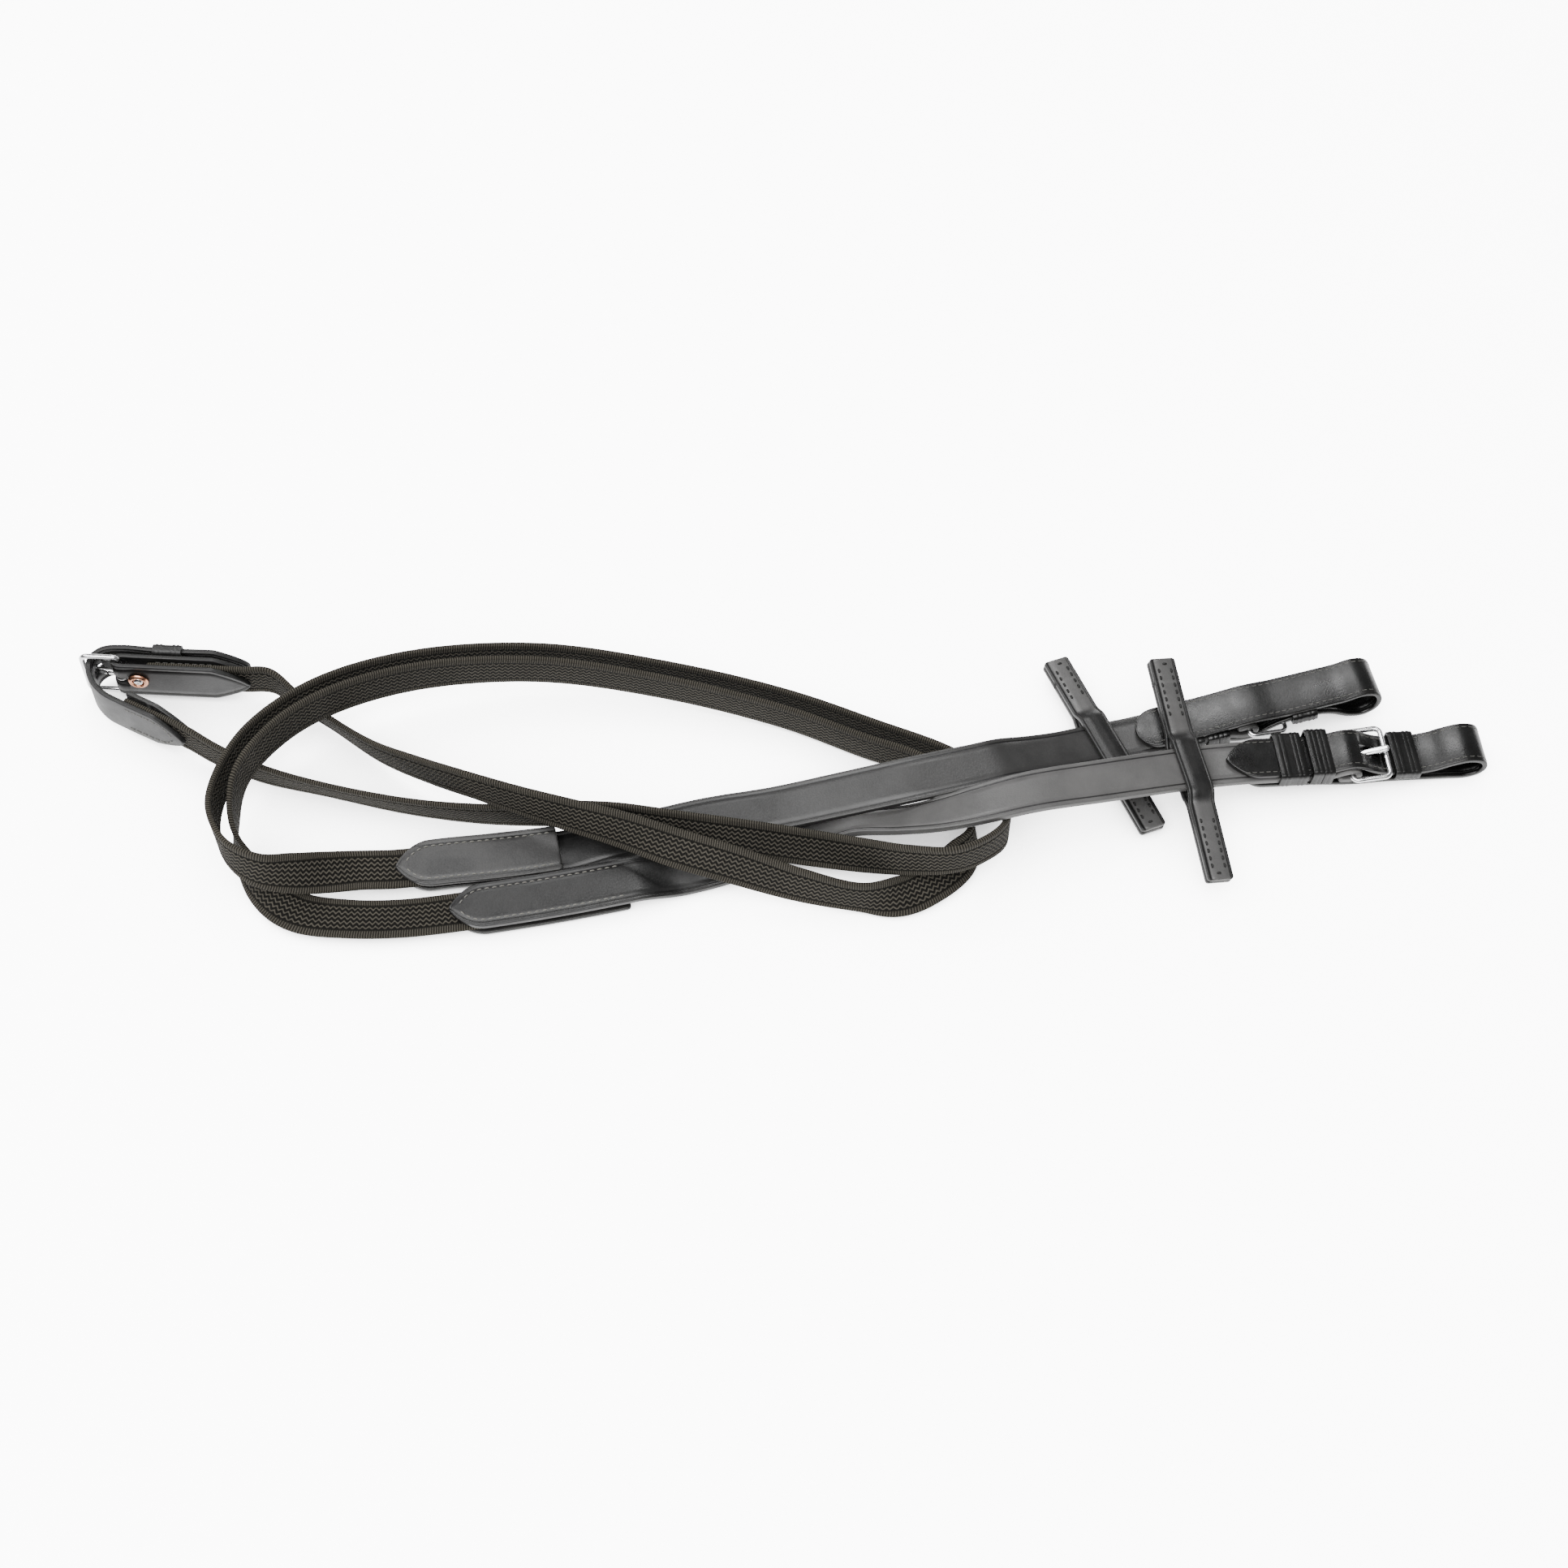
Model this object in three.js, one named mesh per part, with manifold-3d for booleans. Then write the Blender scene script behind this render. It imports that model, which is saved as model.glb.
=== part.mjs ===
// Riding reins laid out on a flat surface, in millimetres, +Z up.
// Two web reins with leather ends are buckled together at the centre. The buckle rein carries the centre
// buckle, the point rein carries the strap that goes through it. Each rein ends in a leather strap with a
// rein stop, and in a billet that loops round a bit ring and buckles back on itself.

import * as THREE from "three";
import { mergeVertices } from "three/addons/utils/BufferGeometryUtils.js";
import Module from "manifold-3d";

const wasm = await Module();
wasm.setup();

// Driving dimensions.
const WEB = { width: 16.5, thickness: 2.2 };
const STRAP = { width: 19, thickness: 2.6 };
const BILLET = { width: 18, thickness: 2.2 };
const CHAPE = { width: 20, thickness: 2 };
const POINT = { width: 19, thickness: 2.2 };
const TAB = { width: 19.6, thickness: 1.8 };
const STOP = { width: 11, thickness: 2 };
const KEEPER_WALL = 1;
const BAR_RADIUS = 1.1; // wire of the buckle frames
const BUCKLE = { halfWidth: 11.5, reach: 15 }; // heel bar to front bar
const GAP = 0.3; // between pieces that touch on the real reins
const SPLICE_GAP = 0.45; // between the layers of a curved splice
const EDGE_BEVEL = 0.5;

// The reins lie centred on their own box, with their lowest edge on the ground.
const PLACE = [1.51, 8.33, 0.255];

// Finishes.
const FINISH = {
  web: { color: 0x3a3833, roughness: 0.92, metalness: 0 },
  leather: { color: 0x17171a, roughness: 0.42, metalness: 0 },
  steel: { color: 0xc9ccd0, roughness: 0.18, metalness: 1 },
  copper: { color: 0xc8693a, roughness: 0.25, metalness: 1 },
};

const UP = new THREE.Vector3(0, 0, 1);
const vec = (x, y, z = 0) => new THREE.Vector3(x, y, z);

// Routes. A band follows a smooth line of points, each with a guide vector that says which way its width lies.

// Points [x, y, z, lean]: lean 0 lies flat, 90 stands on edge with the guide straight up.
function leaning(points) {
  const places = points.map(([x, y, z]) => vec(x, y, z));
  const guides = points.map(([, , , lean], i) => {
    const before = places[Math.max(i - 1, 0)];
    const after = places[Math.min(i + 1, places.length - 1)];
    const along = after.clone().sub(before).normalize();
    const side = UP.clone().cross(along).normalize();
    const rise = along.clone().cross(side);
    const angle = THREE.MathUtils.degToRad(lean);
    return side.multiplyScalar(Math.cos(angle)).addScaledVector(rise, Math.sin(angle));
  });
  return { places, guides };
}

// Points [u, n] in the plane of a buckle: u runs towards the front bar, n away from the back of the strap.
function profiled(frame, points, side = 1) {
  const across = vec(0, side, 0).transformDirection(frame);
  return {
    places: points.map(([u, n]) => vec(u, 0, n).applyMatrix4(frame)),
    guides: points.map(() => across.clone()),
  };
}

function joined(...parts) {
  return {
    places: parts.flatMap((part) => part.places),
    guides: parts.flatMap((part) => part.guides),
  };
}

function layRoute({ places, guides }) {
  const samplesPerPoint = 14;
  const line = new THREE.CatmullRomCurve3(places, false, "centripetal");
  const guideLine = new THREE.CatmullRomCurve3(guides, false, "catmullrom", 0.5);
  const count = (places.length - 1) * samplesPerPoint;
  const samples = [];
  let length = 0;
  for (let i = 0; i <= count; i++) {
    const point = line.getPoint(i / count);
    if (i > 0) length += point.distanceTo(samples[i - 1].point);
    samples.push({ point, guide: guideLine.getPoint(i / count), distance: length });
  }
  const at = (distance) => {
    const next = Math.max(1, samples.findIndex((sample) => sample.distance >= distance));
    const a = samples[next - 1];
    const b = samples[next];
    const share = THREE.MathUtils.clamp((distance - a.distance) / (b.distance - a.distance), 0, 1);
    const before = samples[Math.max(next - 2, 0)].point;
    const after = samples[Math.min(next + 1, count)].point;
    const along = after.clone().sub(before).normalize();
    const guide = a.guide.clone().lerp(b.guide, share);
    const across = guide.addScaledVector(along, -guide.dot(along)).normalize();
    return {
      centre: a.point.clone().lerp(b.point, share),
      along,
      across,
      normal: along.clone().cross(across),
    };
  };
  const distanceTo = (pointIndex) => samples[pointIndex * samplesPerPoint].distance;
  return { length, at, distanceTo };
}

// Bands: every strap, web, tab and stop leather is one closed flat band along a route.

function tipShare(kind, distance, halfWidth) {
  if (kind === "round") {
    const share = Math.min(distance / halfWidth, 1);
    return Math.sqrt(1 - (1 - share) ** 2);
  }
  if (kind === "point") return Math.min(distance / (halfWidth * 1.5), 1) ** 0.6;
  return 1;
}

// Stations lie a step apart, and closer where the route turns or twists by more than a few degrees.
function bandStations(route, from, to, step, startTip, endTip, halfWidth) {
  const largestTurn = THREE.MathUtils.degToRad(13);
  const turn = (a, b) => {
    const [first, second] = [route.at(a), route.at(b)];
    return Math.max(first.along.angleTo(second.along), first.across.angleTo(second.across));
  };
  const stations = new Set([from]);
  for (let here = from; here < to; ) {
    let stride = step;
    while (stride > 1 && turn(here, Math.min(here + stride, to)) > largestTurn) stride *= 0.7;
    here = here + stride * 1.4 > to ? to : here + stride;
    stations.add(here);
  }
  const tipSteps = [0.04, 0.15, 0.35, 0.65, 1];
  for (const share of tipSteps) {
    if (startTip !== "square") stations.add(from + share * halfWidth);
    if (endTip !== "square") stations.add(to - share * halfWidth);
  }
  return [...stations].sort((a, b) => a - b);
}

function sectionRing(halfWidth, halfThickness, bevel) {
  const w = halfWidth;
  const t = halfThickness;
  if (bevel === 0) {
    return [
      [w, -t],
      [w, t],
      [-w, t],
      [-w, -t],
    ];
  }
  return [
    [w, -t + bevel],
    [w, t - bevel],
    [w - bevel, t],
    [-w + bevel, t],
    [-w, t - bevel],
    [-w, -t + bevel],
    [-w + bevel, -t],
    [w - bevel, -t],
  ];
}

// Closes a tube of equal rings into one solid with its faces outward.
function skinRings(rings) {
  const sides = rings[0].length;
  const positions = rings.flat().flatMap((point) => point.toArray());
  const indices = [];
  for (let r = 0; r < rings.length - 1; r++) {
    for (let i = 0; i < sides; i++) {
      const a = r * sides + i;
      const b = r * sides + ((i + 1) % sides);
      indices.push(a, b, b + sides, a, b + sides, a + sides);
    }
  }
  const last = (rings.length - 1) * sides;
  for (let i = 1; i < sides - 1; i++) {
    indices.push(0, i + 1, i);
    indices.push(last, last + i, last + i + 1);
  }
  const geometry = new THREE.BufferGeometry();
  geometry.setAttribute("position", new THREE.Float32BufferAttribute(positions, 3));
  geometry.setIndex(indices);
  return geometry;
}

function band(route, size, options = {}) {
  const { from = 0, to = route.length, step = 12, offset = () => 0, bevel = EDGE_BEVEL } = options;
  const { startTip = "square", endTip = "square" } = options;
  const half = size.width / 2;
  const smallest = 1.2;
  const rings = bandStations(route, from, to, step, startTip, endTip, half).map((distance) => {
    const { centre, across, normal } = route.at(distance);
    const share = Math.min(tipShare(startTip, distance - from, half), tipShare(endTip, to - distance, half));
    const base = centre.clone().addScaledVector(normal, offset(distance));
    return sectionRing(Math.max(half * share, smallest), size.thickness / 2, bevel).map(([w, t]) =>
      base.clone().addScaledVector(across, w).addScaledVector(normal, t),
    );
  });
  return skinRings(rings);
}

// Boolean cuts.

function solidOf(geometry) {
  const bare = geometry.clone();
  bare.deleteAttribute("normal");
  bare.deleteAttribute("uv");
  const merged = mergeVertices(bare, 1e-4);
  const triVerts = new Uint32Array(merged.index.array);
  return new wasm.Manifold(new wasm.Mesh({ numProp: 3, vertProperties: merged.attributes.position.array, triVerts }));
}

function cut(geometry, ...tools) {
  const left = tools.reduce((solid, tool) => solid.subtract(solidOf(tool)), solidOf(geometry));
  const mesh = left.getMesh();
  const result = new THREE.BufferGeometry();
  result.setAttribute("position", new THREE.Float32BufferAttribute(mesh.vertProperties, 3));
  result.setIndex([...mesh.triVerts]);
  return result;
}

// A box from u0 to u1, v0 to v1 and n0 to n1 in a buckle's own frame.
function boxIn(frame, [u0, u1], [v0, v1], [n0, n1]) {
  const box = new THREE.BoxGeometry(u1 - u0, v1 - v0, n1 - n0);
  box.translate((u0 + u1) / 2, (v0 + v1) / 2, (n0 + n1) / 2);
  return box.applyMatrix4(frame);
}

// Frames. A buckle's own frame has u towards its front bar, v across the strap and n up off its face.

function frameAt(origin, along, up) {
  const u = along.clone().normalize();
  const n = up.clone().addScaledVector(u, -up.dot(u)).normalize();
  const v = n.clone().cross(u);
  return new THREE.Matrix4().makeBasis(u, v, n).setPosition(origin);
}

function pitched(headingDegrees, pitchDegrees) {
  const heading = THREE.MathUtils.degToRad(headingDegrees);
  const pitch = THREE.MathUtils.degToRad(pitchDegrees);
  return vec(Math.cos(heading) * Math.cos(pitch), Math.sin(heading) * Math.cos(pitch), Math.sin(pitch));
}

// The model.

const reins = new THREE.Group();

function add(name, finish, geometry) {
  const mesh = new THREE.Mesh(geometry, new THREE.MeshStandardMaterial(FINISH[finish]));
  mesh.name = name;
  reins.add(mesh);
}

// Buckle hardware, shared by the two bit buckles and the centre buckle.

// The wire frame is a rounded rectangle whose plane runs from the heel bar to the front bar.
function buckleFrame(frame, heelBar, frontBar) {
  const corner = 2.4;
  const half = BUCKLE.halfWidth;
  const [u0, n0] = heelBar;
  const reach = Math.hypot(frontBar[0] - u0, frontBar[1] - n0);
  const outline = new THREE.CurvePath();
  const corners = [
    [0, -half],
    [reach, -half],
    [reach, half],
    [0, half],
  ];
  const stopShort = (from, to) => {
    const run = vec(to[0] - from[0], to[1] - from[1]).setLength(corner);
    return vec(from[0] + run.x, from[1] + run.y);
  };
  corners.forEach((here, i) => {
    const next = corners[(i + 1) % 4];
    const afterNext = corners[(i + 2) % 4];
    const into = stopShort(next, here);
    outline.add(new THREE.LineCurve3(stopShort(here, next), into));
    outline.add(new THREE.QuadraticBezierCurve3(into, vec(...next), stopShort(next, afterNext)));
  });
  const tube = new THREE.TubeGeometry(outline, 40, BAR_RADIUS, 6, true);
  tube.rotateY(-Math.atan2(frontBar[1] - n0, frontBar[0] - u0));
  tube.translate(u0, 0, n0);
  return tube.applyMatrix4(frame);
}

// The tongue is an eye round the heel bar and a pin that rests on the front bar.
function buckleTongue(frame, heelBar, frontBar) {
  const eye = 2.7;
  const halfPin = 0.9;
  const width = 3;
  const [u0, n0] = heelBar;
  const barDistance = Math.hypot(frontBar[0] - u0, frontBar[1] - n0);
  const reach = barDistance + 1.8;
  const clearance = BAR_RADIUS + GAP + halfPin;
  const slope = Math.atan2(frontBar[1] - n0, frontBar[0] - u0) + Math.asin(clearance / barDistance);
  const root = Math.asin(halfPin / eye);
  const outline = new THREE.Shape();
  outline.absarc(0, 0, eye, root, 2 * Math.PI - root, false);
  outline.lineTo(reach - halfPin, -halfPin);
  outline.absarc(reach - halfPin, 0, halfPin, -Math.PI / 2, Math.PI / 2, false);
  outline.closePath();
  const hole = new THREE.Path();
  hole.absarc(0, 0, BAR_RADIUS + GAP, 0, 2 * Math.PI, true);
  outline.holes.push(hole);
  const tongue = new THREE.ExtrudeGeometry(outline, { depth: width, bevelEnabled: false, curveSegments: 10 });
  tongue.translate(0, 0, -width / 2);
  tongue.rotateX(Math.PI / 2);
  tongue.rotateY(-slope);
  tongue.translate(u0, 0, n0);
  return tongue.applyMatrix4(frame);
}

// A keeper is a leather loop round the strap: [u0, u1] along it, [n0, n1] the height of what it holds.
function keeper(frame, [u0, u1], halfInside, [n0, n1]) {
  const round = 1;
  const outline = roundedRectangle(halfInside + KEEPER_WALL, n0 - KEEPER_WALL, n1 + KEEPER_WALL, round + 0.8);
  outline.holes.push(roundedRectangle(halfInside, n0, n1, round));
  const loop = new THREE.ExtrudeGeometry(outline, { depth: u1 - u0, bevelEnabled: false, curveSegments: 3 });
  loop.applyMatrix4(new THREE.Matrix4().makeBasis(vec(0, 1, 0), vec(0, 0, 1), vec(1, 0, 0)));
  loop.translate(u0, 0, 0);
  return loop.applyMatrix4(frame);
}

function roundedRectangle(half, low, high, radius) {
  const shape = new THREE.Shape();
  shape.absarc(half - radius, low + radius, radius, -Math.PI / 2, 0, false);
  shape.absarc(half - radius, high - radius, radius, 0, Math.PI / 2, false);
  shape.absarc(-half + radius, high - radius, radius, Math.PI / 2, Math.PI, false);
  shape.absarc(-half + radius, low + radius, radius, Math.PI, Math.PI * 1.5, false);
  shape.closePath();
  return shape;
}

// Centre buckle, standing on edge: u points away from the chape, v is up, n is the far face.
const CENTRE_HEIGHT = 13;
const centre = frameAt(vec(-270, 45, CENTRE_HEIGHT), vec(-1, 0.056), vec(0.056, 1));
const chapeEnd = -53;
const chapeFace = WEB.thickness / 2 + GAP + CHAPE.thickness / 2;
const chapeBack = chapeFace + CHAPE.thickness / 2;

// Route points [x, y, z, lean] of each rein: web, then the splice to leather, then the leather strap.
const BUCKLE_REIN_POINTS = {
  web: [
    [-197, 33.4, 10, 97],
    [-184, 24, 9, 103],
    [-164, 9, 10.5, 98],
    [-143, -4.5, 17.5, 92],
    [-122, -17.5, 26.5, 88],
    [-105, -24, 27, 82],
    [-88, -29.5, 26.5, 74],
    [-64, -35.5, 23.5, 62],
    [-43, -42, 20.5, 52],
    [-20, -47.5, 16.5, 56],
    [6, -54, 12, 70],
    [30, -58, 9.2, 80],
    [46.5, -56.1, 7.1, 42],
    [58, -49.8, 6.4, 30],
    [68.5, -40.5, 6.6, 36],
    [75, -29, 8.6, 80],
    [69, -11, 8.7, 90],
    [56, 3, 8.7, 90],
    [32, 13, 8.7, 90],
    [0, 26, 10, 88],
    [-50, 38.5, 13.5, 88],
    [-101, 43.5, 18.5, 91],
    [-151, 36, 23.5, 94],
    [-185.5, 21, 26, 95],
    [-204.5, 4.8, 26, 95],
    [-215, -12, 24, 94],
    [-217, -27, 17, 92],
    [-213.5, -40, 10.5, 74],
    [-203, -54.5, 7.6, 42],
    [-190, -62.6, 5.4, 14],
    [-170, -65.4, 5, 4],
    [-150, -65.2, 5, 3],
  ],
  splice: [
    [-131, -63, 5.2, 4],
    [-95, -56.8, 5.3, 5],
    [-62, -49.6, 5, 4],
  ],
  strap: [
    [-30, -40.5, 2.4, 0],
    [-6, -31.5, 2.5, -2],
    [4, -28.5, 4, -6],
    [14, -26.5, 7, -18],
    [28, -25.5, 11.2, -32],
    [48, -27.5, 17.6, -26],
    [62, -28, 22.8, -18],
    [76, -26.5, 26.8, -11],
    [97, -20.5, 26.8, -5],
    [125, -13, 22.8, -1],
    [150, -6.4, 18.9, 0],
  ],
};
const POINT_REIN_POINTS = {
  web: [
    [-229, 8, 10.5, 92],
    [-211, 0, 8.9, 98],
    [-184, -8, 8.9, 106],
    [-150, -16, 8.9, 103],
    [-122, -19.5, 8.9, 98],
    [-103, -21, 10.5, 94],
    [-88, -23.2, 14.8, 88],
    [-66, -27, 18.2, 78],
    [-43, -31, 17.6, 70],
    [-15, -35, 15.8, 62],
    [8, -38, 14, 62],
    [32, -43.9, 17.4, 70],
    [50, -49, 22.6, 80],
    [67, -50.2, 25.2, 86],
    [80, -42.8, 22.6, 88],
    [88, -29.5, 15.5, 90],
    [86, -12, 9.5, 91],
    [70, 4.5, 8.7, 90],
    [36, 20, 8.7, 90],
    [0, 34, 10, 88],
    [-50, 45.5, 13.5, 88],
    [-101, 50, 18.5, 91],
    [-152, 42, 23.5, 96],
    [-188, 26.5, 26, 99],
    [-211, 6.5, 26, 100],
    [-221, -13, 26, 99],
    [-223.5, -31, 26, 97],
    [-217, -46.5, 26, 86],
    [-205, -54, 24, 70],
    [-192, -52.8, 19, 50],
    [-179, -48.6, 12.5, 26],
    [-167, -45.4, 8.6, 10],
  ],
  splice: [
    [-153, -44.2, 7.4, 8],
    [-132, -41.2, 7, 8],
    [-112, -38.8, 6.8, 8],
    [-89, -35.2, 6.6, 5],
  ],
  strap: [
    [-60, -27, 4, 3],
    [-30, -20.2, 5.6, 4],
    [-4, -17, 8.2, 6],
    [22, -14.5, 14.6, 8],
    [48, -11.5, 20.6, 8],
    [62, -8.5, 21.4, 7],
    [76, -5, 21.4, 5],
    [87, -1.5, 20.4, 4],
    [99, 3.4, 15.2, 2],
    [111, 8.4, 10.4, 0],
    [121, 12.4, 7.6, 0],
  ],
};

// Bit ends, in the frame of the heel bar: layers from the billet underlay, n = 0, to the billet return.
const MAIN_LAYER = 4;
const RETURN_LAYER = 6.7;
const KEEPER_BASE = BILLET.thickness / 2 + GAP + KEEPER_WALL;
const HEEL_BAR = [0, 4.8];
const FRONT_BAR = [BUCKLE.reach, 7.4];

// The strap's end comes in over the underlay and folds round the heel bar.
const STRAP_FOLD = [
  [-57, MAIN_LAYER - 1.1],
  [-46, MAIN_LAYER - 0.2],
  [-32, MAIN_LAYER],
  [-16, MAIN_LAYER],
  [-8, 4.9],
  [-3, 7.1],
  [0, 7.6],
  [2, 6.7],
  [2.8, 4.8],
  [2, 2.9],
  [0, 2],
  [-5, 2.1],
];
const UNDERLAY = [
  [-45, 0.2],
  [-30, 0],
  [-16, 0],
  [-7, -0.6],
  [-2, -1],
  [4, -1],
  [12, -0.2],
  [20, 0],
  [31, 0],
];
const RETURN = [
  [22, 4.4],
  [16, 4.6],
  [12, 5.5],
  [8, 7.2],
  [4, 9.4],
  [0, 10.5],
  [-3.5, 10],
  [-9, 8],
  [-17, RETURN_LAYER],
  [-26, RETURN_LAYER],
  [-51, RETURN_LAYER],
];
// The loop that a bit ring goes through, flatter on the rein that lies face up.
const FACE_UP_LOOP = [
  [41, 0],
  [49, 0],
  [54, 2.4],
  [55.4, 6],
  [53.4, 9.8],
  [48, 11.2],
  [41, 9.2],
  [35, 6.2],
  [29, 4.6],
];
const FACE_DOWN_LOOP = [
  [40, 0],
  [48, -1],
  [53, 1],
  [55, 5.6],
  [53.6, 10.6],
  [48.5, 13.2],
  [42, 11.4],
  [36, 7.2],
  [30, 4.8],
];

function bitEnd(rein, frame, loop) {
  const billetRoute = layRoute(profiled(frame, [...UNDERLAY, ...loop, ...RETURN]));
  const billet = band(billetRoute, BILLET, { startTip: "round", endTip: "round" });
  const tongueHole = boxIn(frame, [3.6, 13], [-2, 2], [3, 13]);
  add(`${rein}_billet`, "leather", cut(billet, tongueHole));
  add(`${rein}_bit_buckle_frame`, "steel", buckleFrame(frame, HEEL_BAR, FRONT_BAR));
  add(`${rein}_bit_buckle_tongue`, "steel", buckleTongue(frame, HEEL_BAR, FRONT_BAR));

  const strapHalf = STRAP.width / 2 + 0.4;
  const billetHalf = BILLET.width / 2 + 0.4;
  const over = RETURN_LAYER + BILLET.thickness / 2 + GAP;
  add(`${rein}_tip_keeper`, "leather", keeper(frame, [-30.5, -19], strapHalf, [KEEPER_BASE, over]));
  add(`${rein}_buckle_keeper`, "leather", keeper(frame, [-17.5, -8.5], strapHalf, [KEEPER_BASE, over + 1.7]));
  add(`${rein}_loop_keeper`, "leather", keeper(frame, [18, 28.5], billetHalf, [KEEPER_BASE, 6.1]));
}

// One rein from the centre buckle to its bit end: web, leather strap and the tab that backs the splice.
// It gives back its route, which the rein stop slides along.
function rein(name, webStart, points, frame, { side, strapOver }) {
  const run = leaning([...points.web, ...points.splice, ...points.strap]);
  const route = layRoute(joined(webStart, run, profiled(frame, STRAP_FOLD, side)));
  const pointsBefore = webStart.places.length + points.web.length;
  const tip = route.distanceTo(pointsBefore);
  const spliceEnd = route.distanceTo(pointsBefore + points.splice.length - 1);
  add(`${name}_web`, "web", band(route, WEB, { to: spliceEnd, bevel: 0 }));

  const strapLift = strapOver * (WEB.thickness / 2 + SPLICE_GAP + STRAP.thickness / 2);
  const easing = 22;
  const lift = (distance) => strapLift * (1 - THREE.MathUtils.smoothstep(distance, spliceEnd + 2, spliceEnd + easing));
  const strap = band(route, STRAP, { from: tip, startTip: "round", offset: lift });
  const tongueSlot = boxIn(frame, [-3.4, 5], [-2, 2], [0, 9.2]);
  add(`${name}_strap`, "leather", cut(strap, tongueSlot));

  const tabLift = () => -strapOver * (WEB.thickness / 2 + SPLICE_GAP + TAB.thickness / 2);
  const tab = band(route, TAB, { from: tip, to: spliceEnd, startTip: "round", offset: tabLift });
  add(`${name}_splice_tab`, "leather", tab);
  return route;
}

// Rein stops: two stitched leathers that hold a strap between them and slide along it.
// The front leather bows over the strap and the back leather under it. The far and near arms end off the
// strap's own plane by farRise and nearRise, and the whole stop is turned on the strap by skew degrees.
function reinStop(name, strapRoute, distance, { halfLength, skew, farRise, nearRise }) {
  const { centre, along, across, normal } = strapRoute.at(distance);
  const frame = new THREE.Matrix4().makeBasis(along, across, normal);
  frame.multiply(new THREE.Matrix4().makeRotationZ(THREE.MathUtils.degToRad(skew)));
  frame.setPosition(centre);
  const slotHalf = STRAP.width / 2 + 1.5;
  const rise = (v) => (v > 0 ? farRise : nearRise) * (Math.max(Math.abs(v) - slotHalf, 0) / (halfLength - slotHalf));
  const stretches = [1, 0.65, 0.35, slotHalf / halfLength, 0];
  const arms = [...stretches, ...stretches.slice(0, -1).reverse().map((share) => -share)];
  const guide = vec(1, 0, 0).transformDirection(frame);
  const route = layRoute({
    places: arms.map((share) => vec(0, share * halfLength, rise(share * halfLength)).applyMatrix4(frame)),
    guides: arms.map(() => guide.clone()),
  });
  const armOffset = (STOP.thickness + GAP) / 2;
  const bowOffset = (STRAP.thickness + STOP.thickness) / 2 + 1.1;
  const bow = (place) => {
    const closing = THREE.MathUtils.smoothstep(Math.abs(place - route.length / 2), slotHalf, slotHalf + 6);
    return THREE.MathUtils.lerp(bowOffset, armOffset, closing);
  };
  for (const [layer, face] of [["front", 1], ["back", -1]]) {
    const leather = band(route, STOP, { step: 3.5, offset: (place) => face * bow(place) });
    add(`${name}_stop_${layer}`, "leather", leather);
  }
}

// Cylinders and lathes stand along Y: this lays their axis along a frame's n.
function uprightIn(frame, geometry) {
  const stand = new THREE.Matrix4().makeBasis(vec(1, 0, 0), vec(0, 0, 1), vec(0, -1, 0));
  return geometry.applyMatrix4(stand).applyMatrix4(frame);
}

// Centre buckle: chape folded round the heel bar of the buckle rein, keeper, rivet and point strap.
const RIVET = { u: -7.4, v: 1, head: 2.1, shank: 1.35, washer: 4.2 };
const CENTRE_HEEL = [0, 0];
const CENTRE_FRONT = [BUCKLE.reach, 0];

function centreChape() {
  const turn = chapeFace * Math.SQRT1_2;
  const fold = [
    [chapeEnd, chapeFace],
    [-30, chapeFace],
    [-6, chapeFace],
    [0, chapeFace],
    [turn, turn],
    [chapeFace, 0],
    [turn, -turn],
    [0, -chapeFace],
    [-6, -chapeFace],
    [-30, -chapeFace],
    [chapeEnd, -chapeFace],
  ];
  const leather = band(layRoute(profiled(centre, fold)), CHAPE, { startTip: "point", endTip: "point", step: 2.6 });
  const tongueSlot = boxIn(centre, [-3.3, 5.4], [-2, 2], [-5, 5.4]);
  const hole = new THREE.CylinderGeometry(RIVET.shank + GAP, RIVET.shank + GAP, 3.4, 16);
  hole.translate(RIVET.u, -chapeFace, -RIVET.v);
  add("centre_chape", "leather", cut(leather, tongueSlot, uprightIn(centre, hole)));
}

function centreRivet() {
  const face = -chapeBack - GAP;
  const { u, v, head, shank, washer } = RIVET;
  const headProfile = [
    [0, face - 1.3],
    [head * 0.7, face - 1.2],
    [head, face - 0.7],
    [head, face],
    [shank, face],
    [shank, face + 2.2],
    [0, face + 2.2],
  ];
  const ringProfile = [
    [head + GAP, face - 0.9],
    [head + 0.9, face - 1.3],
    [washer - 0.4, face - 1.1],
    [washer, face - 0.5],
    [washer, face],
    [head + GAP, face],
    [head + GAP, face - 0.9],
  ];
  const spin = (profile) => {
    const lathe = new THREE.LatheGeometry(profile.map(([radius, height]) => new THREE.Vector2(radius, height)), 20);
    return uprightIn(centre, lathe.translate(u, 0, -v));
  };
  add("centre_rivet", "steel", spin(headProfile));
  add("centre_rivet_washer", "copper", spin(ringProfile));
}

// The point rein's chape stands on edge: its outer leather runs on through the buckle as the point strap.
const POINT_CHAPE = [
  [-266, 27.4, CENTRE_HEIGHT, 90],
  [-253, 20.7, CENTRE_HEIGHT, 90],
  [-240, 14, 12.6, 90],
];

// The chape's line moved sideways in plan, by a distance towards the inside of the loop of reins.
function besideChape(distance) {
  const [first] = POINT_CHAPE;
  const last = POINT_CHAPE.at(-1);
  const inward = vec(first[1] - last[1], last[0] - first[0]).setLength(distance);
  return POINT_CHAPE.map(([x, y, z, lean]) => [x + inward.x, y + inward.y, z, lean]);
}

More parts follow.
